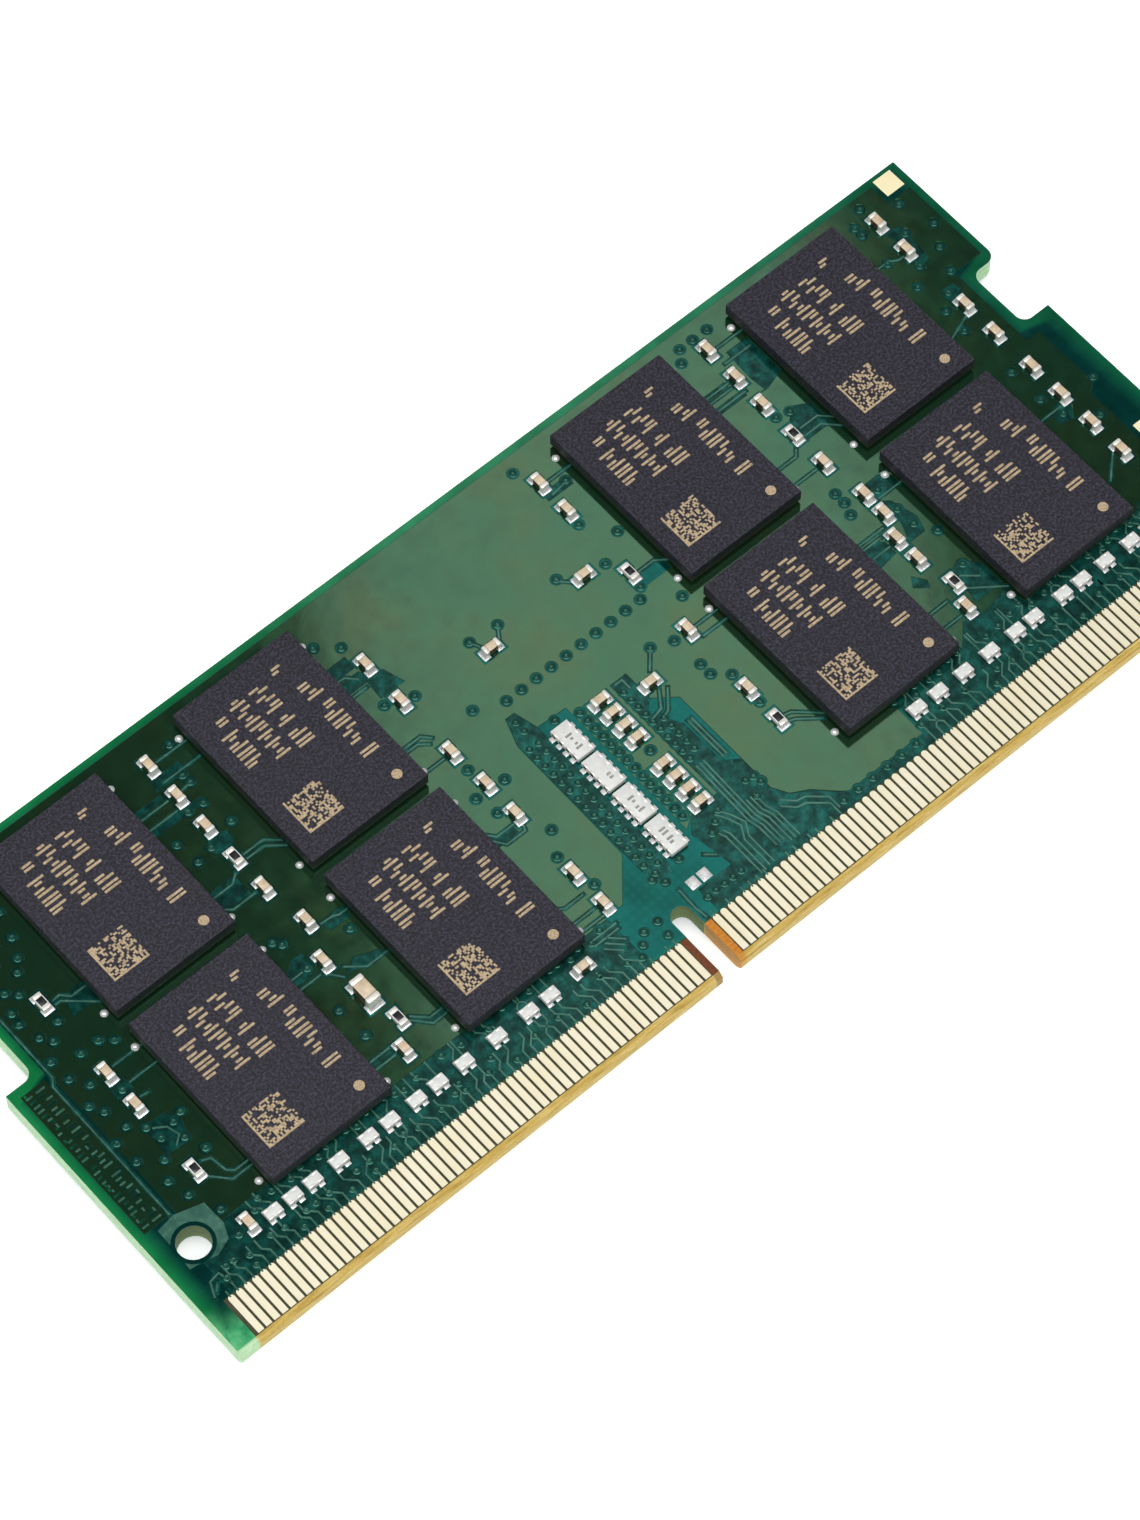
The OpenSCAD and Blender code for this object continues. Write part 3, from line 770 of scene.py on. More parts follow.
def build_chips(side):
    """The eight chips of a face, with rows of marks, a square of cells and a pale dimple on each."""
    face_name = FACE_NAME[side]
    marks = Shape()
    row_rng = random.Random(SEED)
    rows = [box for row in MARK_ROWS for box in tally_marks(row_rng, *row)]
    dot = lathe(((0, 0.002 * MM), (0.8 * DIMPLE_R * MM, 0.002 * MM), (0.86 * DIMPLE_R * MM, 0)), DIMPLE_STEPS)
    for i in range(1, CHIPS + 1):
        node = f"{face_name}_chip_{i}"
        centre, size = solids(node)[0]
        shape = Shape()
        shape.add(*chip_body(side, centre, size))
        shape.piece(f"{node}_body", MOULDING, "moulding", replaces=(node,))
        corner = (centre.x - size.x / 2, centre.y - size.y / 2)
        face = centre.z + side * size.z / 2
        for box in rows + matrix_marks(random.Random(SEED + i)):
            plate(marks, side, corner, box, face, MARK_LIFT)
        place = (corner[0] + DIMPLE[0] * MM, corner[1] + DIMPLE[1] * MM, face - side * DIMPLE_DEPTH)
        marks.moved(dot, place, side)
    marks.piece(f"{face_name}_chip_marks", LASER_MARK, "moulding")


# ---------------------------------------------------------------- small soldered parts

# How much of a resistor's width its black coat covers, and what it leaves bare along its length
COAT_SHARE = 0.78
COAT_INSET = 0.05 * MM
# What the coat of a pack leaves bare at its ends and at its sides, and how deep it sits, in millimetres
PACK_INSETS = (0.05, 0.12)
PACK_SINK = 0.004
# Height of a coat on packs and on arrays, and the place of the marks on an array, in millimetres
PACK_COAT = 0.02
ARRAY_COAT = 0.025
ARRAY_MARKS = (-0.2, 0.2, -0.62, 0.7)
# How high solder climbs an end and how far it spreads, as shares of the end's height
FILLET_CLIMB = 0.62
FILLET_SPREAD = 0.45
FILLET_MOST = 0.2 * MM
FILLET_START = 0.03 * MM
FILLET_STEPS = 5


def rounded_copies(shape, node, radius):
    """A round-edged box on each solid of a node."""
    for centre, size in solids(node):
        shape.moved(rounded_box(*(round(s, 9) for s in size), radius * MM), centre)


def rounded_piece(name, node, radius, material, slot):
    """The piece that stands in for a node of plain boxes."""
    shape = Shape()
    rounded_copies(shape, node, radius)
    shape.piece(name, material, slot, smooth=40, replaces=(node,))


def fillet(shape, side, foot, away, width, height, reach, z):
    """A concave run of solder from the wall of an end down to its land."""
    across = Vector((-away.y, away.x))
    verts = []
    for i in range(FILLET_STEPS + 1):
        a = math.pi / 2 * i / FILLET_STEPS
        out, up = reach * (1 - math.cos(a)), height * (1 - math.sin(a))
        half = width / 2 * (1 - 0.12 * up / height) * (1 - 0.2 * (out / reach) ** 3)
        verts += [(*(foot + away * out + across * (s * half)), z + side * up) for s in (-1, 1)]
    low = len(verts)
    verts += [(*(foot + across * (s * width / 2)), z) for s in (-1, 1)]
    faces = [(a, a + 1, a + 3, a + 2) for a in range(0, low - 2, 2)]
    faces.append((*range(0, low, 2), low))
    faces.append((low + 1, *range(low - 1, 0, -2)))
    shape.add(verts, outward(faces, side))


def end_fillets(shape, side, ends, body, z):
    """Solder at the foot of each wrapped end of the parts in a node."""
    for centre, size in solids(ends):
        middle = min(solids(body), key=lambda s: (s[0] - centre).length_squared)[0]
        away = Vector((round(centre.x - middle.x, 6), round(centre.y - middle.y, 6))).normalized()
        length, width = (size.x, size.y) if abs(away.x) > 0.5 else (size.y, size.x)
        foot = Vector((centre.x, centre.y)) + away * (length / 2 - FILLET_START)
        reach = min(FILLET_MOST, size.z * FILLET_SPREAD)
        fillet(shape, side, foot, away, width * 1.04, size.z * FILLET_CLIMB, reach, z)


def build_ended_parts(side):
    """Capacitors and resistors with wrapped ends, and the solder that holds them."""
    face = FACE_NAME[side]
    rounded_piece(f"{face}_capacitor_bodies", f"{face}_capacitors", 0.03,
                  CAPACITOR_CERAMIC, "capacitor_ceramic")
    rounded_piece(f"{face}_resistor_bodies", f"{face}_resistors", 0.015, WHITE_CERAMIC, "white_ceramic")
    coats = Shape()
    for centre, size in solids(f"{face}_resistor_coats"):
        x, y = ((size.x - COAT_INSET, size.y * COAT_SHARE) if size.x > size.y
                else (size.x * COAT_SHARE, size.y - COAT_INSET))
        coats.moved(rounded_box(round(x, 9), round(y, 9), size.z, 0.012 * MM), centre)
    coats.piece(f"{face}_resistor_glazes", GLAZE, "resistor_coat", smooth=40,
                replaces=(f"{face}_resistor_coats",))
    groups = [(f"{face}_capacitor_ends", f"{face}_capacitors", 0.06, "capacitor_end_caps"),
              (f"{face}_resistor_ends", f"{face}_resistors", 0.045, "resistor_end_caps")]
    if side == UPPER:
        groups.append(("bulk_capacitor_ends", "bulk_capacitor", 0.08, "bulk_end_caps"))
        rounded_piece("bulk_capacitor_body", "bulk_capacitor", 0.04, CAPACITOR_CERAMIC, "capacitor_ceramic")
    lands_low, lands_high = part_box(f"{face}_solder_lands")
    level = lands_high[2] if side == UPPER else lands_low[2]
    fillets = Shape()
    for ends, body, radius, name in groups:
        rounded_piece(f"{face}_{name}", ends, radius, END_TIN, "solder_tin")
        end_fillets(fillets, side, ends, body, level)
    fillets.piece(f"{face}_solder_fillets", SOLDER, "solder_tin", smooth=60)


def build_packs(side, node, ends, name, lift):
    """Resistor packs: a white slab with a raised coat on top, and wrapped terminals."""
    slabs = Shape()
    rounded_copies(slabs, node, 0.03)
    for centre, size in solids(node):
        inset_x, inset_y = PACK_INSETS if size.x > size.y else PACK_INSETS[::-1]
        x, y = size.x / 2 - inset_x * MM, size.y / 2 - inset_y * MM
        top = centre.z + side * (size.z / 2 - PACK_SINK * MM)
        slabs.moved(rounded_box(2 * x, 2 * y, 2 * lift * MM, 0.9 * lift * MM), (centre.x, centre.y, top))
    slabs.piece(f"{name}_slabs", WHITE_CERAMIC, "white_ceramic", smooth=40, replaces=(node,))
    rounded_piece(f"{name}_terminals", ends, 0.035, END_TIN, "solder_tin")


def build_array_marks():
    """Generic grey strokes printed on the resistor arrays."""
    marks = Shape()
    rng = random.Random(SEED)
    for centre, size in solids("resistor_arrays"):
        face = centre.z + size.z / 2 + (ARRAY_COAT - PACK_SINK) * MM
        for box in tally_marks(rng, *ARRAY_MARKS):
            plate(marks, UPPER, centre, box, face, 0.5 * MARK_LIFT)
    marks.piece("array_marks", GREY_PRINT, "white_ceramic")


def build_lands(side):
    """Solder on the lands, domed by surface tension."""
    node = f"{FACE_NAME[side]}_solder_lands"
    shape = Shape()
    for centre, size in solids(node):
        shape.moved(rounded_box(*size, round(size.z * 0.45, 9), 3), centre)
    shape.piece(f"{FACE_NAME[side]}_solder", SOLDER, "solder_tin", smooth=60, replaces=(node,))


def build_balls(side):
    """Solder balls under the chips, squashed between the pads."""
    node = f"{FACE_NAME[side]}_solder_balls"
    shape = Shape()
    for centre, size in solids(node):
        r, h = size.x / 2, size.z / 2
        shape.moved(lathe(((r * 0.72, h), (r, 0), (r * 0.72, -h)), 8), centre)
    shape.piece(f"{FACE_NAME[side]}_balls", BALL_TIN, "solder_tin", smooth=70, replaces=(node,))


def build_bumps(side):
    """Drops of bright bonding resin beside the chips' corners."""
    node = f"{FACE_NAME[side]}_corner_bumps"
    shape = Shape()
    rng = random.Random(SEED)
    for centre, size in solids(node):
        r, h = size.x / 2, size.z
        lean = 0.86 + 0.14 * rng.random()
        above_foot = ((0, h), (r * 0.45, h * 0.9), (r * 0.78, h * 0.62), (r * 0.96, h * 0.24))
        profile = (*((a * lean, b) for a, b in above_foot), (r, 0))
        shape.moved(lathe(profile, 16), (centre.x, centre.y, centre.z - side * h / 2), side)
    shape.piece(f"{FACE_NAME[side]}_resin_drops", SOLDER, "solder_tin", smooth=70, replaces=(node,))


def build_configuration_chip():
    """The small chip on the lower face: a moulded body with sloping sides, on flat leads."""
    node = "configuration_chip"
    centre, size = solids(node)[0]
    x, y, z = size / 2
    levels = ((x, y, -z), (x, y, -0.2 * z), (x * 0.97, y * 0.96, 0.86 * z), (x * 0.955, y * 0.935, z))
    verts = [(*p, h) for a, b, h in levels for p in rect_outline(-a, -b, a, b)]
    top = tuple(range(len(verts) - 4, len(verts)))
    shape = Shape()
    shape.moved((verts, walls(len(levels)) + [top]), centre, LOWER)
    shape.piece(f"{node}_body", MOULDING, "moulding", replaces=(node,))
    rounded_piece(f"{node}_feet", f"{node}_leads", 0.02, END_TIN, "solder_tin")


for face_side, face_word in FACE_NAME.items():
    build_chips(face_side)
    build_ended_parts(face_side)
    build_lands(face_side)
    build_balls(face_side)
    build_bumps(face_side)
    build_packs(face_side, f"{face_word}_resistor_pairs", f"{face_word}_resistor_pair_ends",
                f"{face_word}_pair", PACK_COAT)
build_packs(UPPER, "resistor_arrays", "resistor_array_ends", "array", ARRAY_COAT)
build_array_marks()
build_configuration_chip()


# ---------------------------------------------------------------- copper under the solder mask

# Sizes in millimetres of the relief that the copper gives the mask, and the room it leaves round things
RELIEF = 0.022
RELIEF_SLOPE = 0.03
TRACK_W = 0.08
TRACK_SLOPE = 0.015
TRACK_GAP = 0.1
TRACK_HEIGHT = 0.9 * RELIEF
VIA_R = 0.21
VIA_WELL_R = 0.08
VIA_CLEAR = 0.15
VIA_SIDES = 14
VIA_SPACING = 0.44
LAND_CLEAR = 0.13

# The copper sheet's areas, as outlines in millimetres on the board
MIDDLE_POUR = [
    (28.9, 6.1), (29.5, 6.15), (31.35, 8.3), (31.4, 16.3), (31.95, 17.9), (32.55, 17.9), (32.9, 16.5),
    (34.7, 16.4), (34.7, 7.2), (35.5, 7.75), (37.2, 7.75), (37.2, 15.9), (38.3, 15.9), (38.3, 14.0),
    (39.45, 13.1), (39.45, 6.2), (39.95, 5.35), (40.85, 4.85), (41.95, 3.75), (42.3, 3.5), (47.25, 3.5),
    (47.25, 29.55), (28.9, 29.55),
]
POUR_AREAS = [
    rect_outline(2.35, 6.05, 29.0, 29.55),
    MIDDLE_POUR,
    rect_outline(47.2, 5.75, 67.25, 29.55),
    rect_outline(0.45, 22.7, 2.4, 29.55),
    [(67.2, 22.7), (69.15, 22.7), (69.15, 28.2), (67.6, 28.2), (67.6, 29.55), (67.2, 29.55)],
    [(67.2, 5.9), (67.5, 5.9), (67.5, 12.6), (68.1, 13.0), (68.1, 17.1), (67.2, 17.1)],
    rect_outline(0.5, 7.9, 1.95, 17.45),
]
# Stretches crowded with tracks and plated holes, where the mask looks darker
CROWDED = [
    rect_outline(1.7, 2.78, 28.4, 6.02),
    [(31.45, 6.9), (31.9, 5.9), (32.6, 5.9), (32.9, 7.0), (32.9, 16.5), (32.5, 17.85), (32.0, 17.85),
     (31.45, 16.3)],
    rect_outline(32.9, 2.78, 35.3, 4.3),
    [(35.3, 2.78), (42.3, 2.78), (42.2, 3.45), (40.8, 4.8), (39.95, 5.3), (39.4, 6.2), (39.4, 8.4),
     (38.6, 9.0), (38.6, 11.8), (38.1, 12.6), (37.25, 12.8), (37.25, 7.7), (35.4, 7.7), (34.7, 6.8)],
    [(37.25, 13.2), (38.25, 14.0), (38.25, 15.85), (37.25, 15.85)],
    rect_outline(42.3, 2.78, 47.4, 3.4),
    rect_outline(47.4, 2.78, 68.0, 5.7),
]
# A paler patch of copper round the alignment hole
HOLE_PATCH = [(1.0, 5.05), (2.5, 4.75), (3.4, 5.1), (3.75, 5.9), (3.7, 7.3), (2.2, 7.75), (1.1, 7.6)]
# Windows in the sheet where the bare laminate shows through the mask
WINDOWS = [
    [(5.15, 19.2), (6.9, 19.2), (6.9, 20.5), (5.6, 20.45)],
    [(3.9, 10.4), (5.3, 10.3), (5.7, 11.4), (5.4, 12.3), (4.0, 12.4)],
    rect_outline(4.0, 14.25, 5.0, 14.85),
    rect_outline(14.3, 24.2, 17.7, 24.62),
    rect_outline(14.3, 25.62, 16.2, 26.0),
    [(16.1, 26.15), (18.0, 26.2), (18.1, 26.9), (16.3, 26.95)],
    [(14.3, 18.75), (16.1, 18.75), (16.1, 20.1), (14.3, 20.1)],
    rect_outline(16.1, 21.5, 17.4, 22.3),
    [(14.3, 13.2), (15.5, 13.2), (15.9, 14.5), (15.2, 14.6), (14.3, 13.9)],
    [(16.6, 12.2), (17.6, 12.0), (18.9, 11.7), (18.9, 12.2), (17.6, 12.7)],
    [(17.7, 14.5), (19.0, 14.5), (19.0, 15.3), (17.6, 15.25)],
    rect_outline(14.3, 7.4, 15.7, 7.6),
    [(18.0, 7.4), (19.0, 7.4), (19.0, 7.62), (18.1, 7.62)],
    rect_outline(26.7, 24.1, 28.2, 24.9),
    rect_outline(26.7, 25.15, 28.2, 26.0),
    [(28.0, 22.9), (29.6, 22.9), (29.2, 24.2), (28.1, 24.2)],
    [(42.0, 26.1), (43.7, 26.1), (43.7, 26.75), (42.0, 26.65)],
    rect_outline(26.7, 12.55, 28.3, 13.0),
    rect_outline(52.0, 24.2, 54.0, 24.65),
    rect_outline(52.0, 25.2, 53.6, 25.6),
    [(53.4, 23.9), (54.9, 23.9), (54.8, 24.9), (54.9, 26.9), (56.4, 26.9), (56.4, 24.2), (55.1, 23.8)],
    [(54.5, 20.1), (56.2, 20.1), (56.2, 21.7), (55.3, 22.2), (54.6, 21.6)],
    [(54.7, 15.0), (56.4, 15.0), (56.4, 16.2), (54.9, 16.2)],
    [(52.0, 11.9), (53.4, 12.1), (53.4, 13.0), (52.8, 13.4), (52.0, 13.3)],
    [(54.3, 12.1), (55.4, 12.1), (55.7, 13.0), (55.3, 14.6), (54.9, 14.9), (54.9, 13.6)],
    [(52.6, 10.0), (53.3, 9.4), (53.5, 9.9), (53.0, 10.6)],
    [(52.0, 5.7), (53.2, 6.9), (54.3, 6.6), (56.3, 6.9), (56.3, 5.7)],
    [(54.5, 7.3), (56.3, 7.3), (56.3, 8.9), (55.4, 9.7), (54.8, 9.5)],
    [(65.0, 12.2), (65.8, 12.0), (66.4, 12.8), (65.6, 13.3), (65.0, 12.9)],
    [(66.0, 24.1), (66.9, 24.2), (67.2, 26.8), (66.1, 26.9), (66.5, 25.5)],
    rect_outline(65.8, 21.5, 66.8, 22.3),
    [(42.35, 19.05), (44.2, 19.05), (44.2, 19.9), (42.9, 19.9)],
]
# How many windows at the end of the list are wide enough to look bright
BRIGHT_WINDOWS = 1
# Plated holes that stand clear of the sheet
SINGLE_VIAS = [
    (31.05, 19.35), (32.25, 17.4), (32.25, 16.75), (28.65, 16.9), (41.7, 28.6), (42.25, 24.05),
    (43.5, 26.5), (33.5, 22.45), (35.25, 22.3), (39.25, 22.35), (41.75, 21.4), (43.5, 22.45), (43.45, 17.4),
    (42.2, 19.2), (29.6, 11.6), (28.8, 10.25), (41.5, 13.8), (41.5, 13.05), (42.3, 12.3), (42.3, 10.2),
    (33.8, 16.2), (53.4, 16.75), (53.4, 16.05), (53.15, 15.3), (55.2, 15.5), (55.2, 14.0), (55.25, 12.8),
    (55.9, 11.7), (55.5, 9.4), (54.2, 22.2), (55.0, 22.0), (40.2, 16.2), (41.4, 15.7), (28.4, 26.5),
    (27.3, 27.4), (28.2, 14.1), (29.7, 15.3), (27.9, 15.4), (29.4, 21.9), (27.9, 22.5), (28.4, 8.6),
    (29.2, 7.9), (36.3, 11.75), (53.2, 28.6), (54.1, 28.6), (55.1, 28.6), (52.7, 27.9), (16.6, 24.3),
    (17.75, 25.55), (17.9, 22.5), (15.4, 15.5), (15.1, 15.9), (15.5, 13.7), (17.7, 26.1), (18.3, 27.9),
    (15.0, 23.2), (15.2, 21.8), (16.2, 22.0), (16.6, 22.0), (17.5, 24.2), (15.3, 9.0), (15.2, 10.9),
    (18.5, 14.0), (66.2, 22.0), (68.0, 27.8), (68.6, 25.7), (67.8, 24.4), (67.2, 22.9), (65.2, 27.6),
    (65.2, 28.2), (65.0, 25.4), (65.2, 23.3), (66.2, 24.2), (65.3, 16.2), (65.3, 14.0), (68.3, 13.2),
    (67.0, 11.3), (65.6, 12.6), (67.0, 26.2), (66.2, 28.9), (65.3, 21.2), (65.2, 19.7), (4.5, 14.55),
    (3.0, 21.3), (2.9, 20.6), (3.2, 19.4), (3.6, 18.8), (4.45, 19.5), (4.2, 17.4), (2.9, 16.7), (2.7, 14.9),
    (3.1, 14.2), (5.3, 11.6), (4.3, 11.3), (5.2, 10.6), (4.1, 12.2), (3.1, 9.3), (3.4, 8.1), (5.9, 11.8),
    (2.5, 12.5), (2.6, 11.1), (3.4, 12.9), (3.7, 10.3), (2.8, 18.0), (3.5, 15.8), (2.6, 23.3), (5.1, 23.5),
    (4.6, 22.9), (3.9, 23.9), (3.3, 25.2), (5.6, 24.6), (3.0, 27.0), (4.0, 28.6), (6.0, 26.1), (5.3, 17.4),
    (5.9, 16.9), (3.9, 21.9), (1.3, 23.4), (1.1, 25.2), (1.5, 27.2), (1.2, 28.7), (5.6, 9.5), (4.1, 6.5),
    (3.9, 4.9), (6.3, 27.6), (3.4, 22.4),
]
# Columns and rows of plated holes: first place, step, how many
VIA_RUNS = [
    ((32.7, 18.65), (1.0, 0.0), 10),
    ((31.75, 7.1), (0.0, 0.62), 15),
    ((32.35, 6.75), (0.0, 0.6), 16),
    ((35.05, 7.9), (0.0, 0.6), 14),
    ((37.5, 10.1), (0.0, 0.56), 10),
    ((38.05, 10.4), (0.0, 0.58), 5),
    ((38.6, 6.3), (0.35, 0.25), 3),
    ((38.75, 7.35), (0.45, -0.1), 2),
    ((41.7, 3.25), (0.98, 0.0), 6),
    ((28.3, 3.3), (0.5, 0.5), 3),
    ((30.1, 3.4), (0.1, 0.9), 2),
    ((31.5, 6.2), (0.45, -0.5), 2),
    ((31.6, 6.9), (0.3, -0.5), 2),
    ((33.0, 3.7), (0.55, 0.0), 5),
    ((33.3, 6.2), (0.6, 0.0), 1),
    ((35.5, 6.2), (0.55, 0.4), 3),
]
# Tracks that leave the small parts, as lines of places
TRACKS = [
    [(4.95, 20.55), (5.4, 20.6), (5.8, 20.15), (6.75, 20.15)],
    [(4.9, 20.3), (5.25, 20.3), (6.75, 18.95)],
    [(4.9, 15.85), (6.75, 15.85)],
    [(5.0, 14.65), (6.75, 14.65)],
    [(4.9, 13.7), (5.4, 13.65)],
    [(4.7, 8.3), (5.55, 7.35), (6.75, 7.35)],
    [(5.0, 9.1), (5.45, 8.9), (5.6, 7.95), (5.9, 7.65), (6.75, 7.65)],
    [(4.3, 12.0), (4.9, 11.6), (5.1, 10.9), (4.6, 10.5)],
    [(17.15, 27.55), (19.1, 27.55)],
    [(16.7, 26.4), (19.1, 26.4)],
    [(14.4, 25.45), (16.25, 25.45)],
    [(14.4, 24.72), (16.25, 24.72)],
    [(17.1, 25.45), (17.75, 25.55)],
    [(17.15, 20.65), (18.4, 20.65), (19.15, 20.0)],
    [(17.1, 20.35), (18.25, 20.35), (19.15, 19.6)],
    [(14.4, 19.72), (15.7, 19.72), (16.2, 20.1)],
    [(14.4, 18.95), (14.85, 18.6), (16.25, 18.6)],
    [(17.55, 15.15), (18.3, 15.1), (18.6, 14.95), (19.1, 14.95)],
    [(14.4, 13.0), (15.8, 13.0)],
    [(14.4, 13.7), (15.2, 13.7)],
    [(16.0, 12.9), (16.6, 12.1)],
    [(16.9, 12.6), (17.8, 11.85), (19.1, 11.85)],
    [(17.4, 8.3), (18.25, 7.35), (19.1, 7.35)],
    [(17.6, 8.4), (18.3, 7.7), (19.1, 7.7)],
    [(14.4, 7.75), (15.75, 7.75)],
    [(14.4, 7.25), (15.75, 7.25)],
    [(26.7, 25.1), (27.4, 25.05), (27.9, 24.5)],
    [(26.7, 23.9), (27.9, 23.9)],
    [(26.7, 19.95), (28.1, 19.95), (28.5, 19.5)],
    [(26.7, 19.7), (27.7, 19.7), (28.2, 19.3)],
    [(26.7, 18.2), (28.2, 18.2)],
    [(26.8, 13.7), (27.3, 13.1), (28.4, 13.1)],
    [(26.8, 13.3), (27.4, 12.45), (28.6, 12.45), (28.75, 12.8)],
    [(26.7, 8.2), (27.2, 7.85), (28.4, 7.85)],
    [(26.7, 6.9), (28.3, 6.9)],
    [(26.7, 6.3), (28.5, 6.3)],
    [(39.25, 22.35), (39.3, 22.15), (39.95, 21.5)],
    [(35.25, 22.3), (34.75, 21.6)],
    [(33.5, 22.45), (33.75, 21.9)],
    [(42.7, 27.05), (44.3, 27.05)],
    [(42.4, 26.3), (43.5, 26.45)],
    [(42.7, 19.95), (43.75, 19.95), (44.35, 19.5)],
    [(42.7, 15.65), (44.3, 15.65)],
    [(42.7, 14.95), (44.3, 14.95)],
    [(42.7, 8.85), (43.1, 8.75), (44.4, 7.55)],
    [(42.5, 8.5), (43.0, 8.3), (44.1, 7.4)],
    [(39.3, 15.2), (40.2, 16.2)],
    [(37.4, 15.75), (37.9, 15.75), (37.9, 15.1)],
    [(38.1, 12.75), (38.5, 12.9), (39.35, 13.9)],
    [(37.4, 13.0), (38.3, 13.2), (38.95, 14.1)],
    [(52.2, 25.4), (53.7, 25.4)],
    [(52.2, 25.05), (53.7, 25.05)],
    [(52.2, 24.45), (54.1, 24.45)],
    [(52.2, 19.75), (53.4, 19.75), (53.7, 20.1)],
    [(52.2, 18.5), (53.7, 18.5)],
    [(54.6, 27.4), (56.5, 27.4)],
    [(54.4, 26.4), (56.2, 26.4)],
    [(54.6, 20.4), (55.7, 20.4), (56.5, 19.6)],
    [(54.7, 20.9), (55.9, 20.9), (56.6, 20.2)],
    [(54.9, 15.1), (56.5, 15.1)],
    [(52.2, 13.3), (53.4, 13.3)],
    [(52.2, 13.65), (53.9, 13.65)],
    [(52.2, 12.6), (53.4, 12.6)],
    [(52.2, 8.3), (53.4, 8.3)],
    [(52.2, 7.2), (53.4, 7.2)],
    [(54.9, 9.0), (55.7, 8.3)],
    [(54.7, 8.2), (56.4, 6.9)],
    [(64.2, 25.5), (65.1, 25.5), (65.6, 25.2), (66.0, 25.2)],
    [(64.2, 13.0), (65.9, 13.0)],
    [(64.6, 8.0), (65.9, 9.2)],
    [(64.2, 19.7), (65.9, 20.3)],
    [(2.05, 7.9), (2.05, 16.9), (2.35, 17.3), (2.35, 22.0)],
    [(0.95, 3.1), (1.3, 3.9), (1.9, 4.0), (2.1, 3.2)],
    [(1.2, 3.3), (1.5, 3.6)],
    [(32.2, 2.9), (32.1, 3.6), (32.15, 4.9)],
    [(34.4, 5.6), (34.9, 5.15)],
]
# Bundles of side-by-side tracks: a line of places, how many, and the step to the next
BUNDLES = [
    ([(35.9, 2.9), (35.9, 5.6), (35.75, 6.0)], 2, (0.28, 0.0)),
    ([(36.5, 3.0), (36.5, 4.9), (36.9, 5.6), (36.6, 6.4), (36.3, 6.9)], 2, (0.3, 0.0)),
    ([(37.5, 3.6), (37.5, 4.9), (37.35, 5.6), (37.45, 9.6)], 3, (0.24, 0.0)),
    ([(38.25, 3.3), (38.25, 5.0), (38.05, 5.6), (38.05, 6.5)], 3, (0.26, 0.0)),
    ([(38.85, 9.1), (38.85, 11.8)], 2, (0.24, 0.0)),
    ([(39.3, 5.4), (39.9, 4.8), (40.4, 4.7), (41.3, 3.9), (41.3, 3.1)], 2, (-0.2, -0.3)),
    ([(27.2, 4.9), (27.9, 4.2)], 3, (0.25, 0.2)),
    ([(26.9, 5.3), (28.5, 5.3)], 2, (0.1, 0.3)),
]
# Stretches between the contacts and the chips that are filled with short tracks
FAN_GROUPS = [(1.6, 28.2), (47.4, 68.0)]
FAN_Y = (3.05, 4.2)
STUB_Y = (5.05, 6.3)
# A stretch whose contacts have no necks, and how far a pack's tracks lie from its middle
NO_NECKS = (41.4, 47.3)
PAIR_STEP = 0.26
# Columns of etched ticks along the left end: x from, x to, y from, y to
TICK_COLUMNS = [(0.6, 1.0, 8.1, 17.2), (1.2, 1.75, 8.1, 17.3)]


def mirrored(places):
    """Places laid out back to front, as the lower face is."""
    return [(BOARD_W - x, y) for x, y in places]


def laid_out(outlines, side):
    """The outlines as they lie on a face, all with the same turn."""
    return [mirrored(o)[::-1] for o in outlines] if side == LOWER else outlines


def contact_places(side):
    """Middle and upper end of every contact on a face, on the board, left to right."""
    found = []
    for half in ("left", "right"):
        for centre, size in solids(f"{FACE_NAME[side]}_contacts_{half}"):
            x, y = to_board(centre.x, centre.y)
            found.append((x, y + size.y / MM / 2))
    return sorted(found)


def land_boxes(side, margin):
    """Lands and gold pads on a face, as middle x, middle y, half width and half height on the board."""
    nodes = [f"{FACE_NAME[side]}_solder_lands"] + ["gold_pads"] * (side == UPPER)
    return [(*to_board(c.x, c.y), s.x / MM / 2 + margin, s.y / MM / 2 + margin)
            for node in nodes for c, s in solids(node)]


def fan_tracks(rng, side):
    """Short necks from the contacts, some ending at a hole, and bent tracks up to the packs."""
    tracks, vias = [], []
    lean = 0.0
    for i, (x, end) in enumerate(contact_places(side)):
        if i % 6 == 0:
            lean = rng.choice((-0.5, -0.3, 0.0, 0.3, 0.5))
        start = (x, end - 0.1)
        bend = end + 0.57
        if not any(a < x < b for a, b in FAN_GROUPS):
            if rng.random() < 0.5 and not NO_NECKS[0] < x < NO_NECKS[1]:
                tracks.append([start, (x, end + 0.3)])
        elif i % 3 == 1:
            y = FAN_Y[0] + rng.choice((0.1, 0.5, 0.85))
            tracks.append([start, (x, y)])
            vias.append((x, y))
        else:
            tracks.append([start, (x, bend), (x + lean, bend + abs(lean)), (x + lean, FAN_Y[1])])
    return tracks, vias


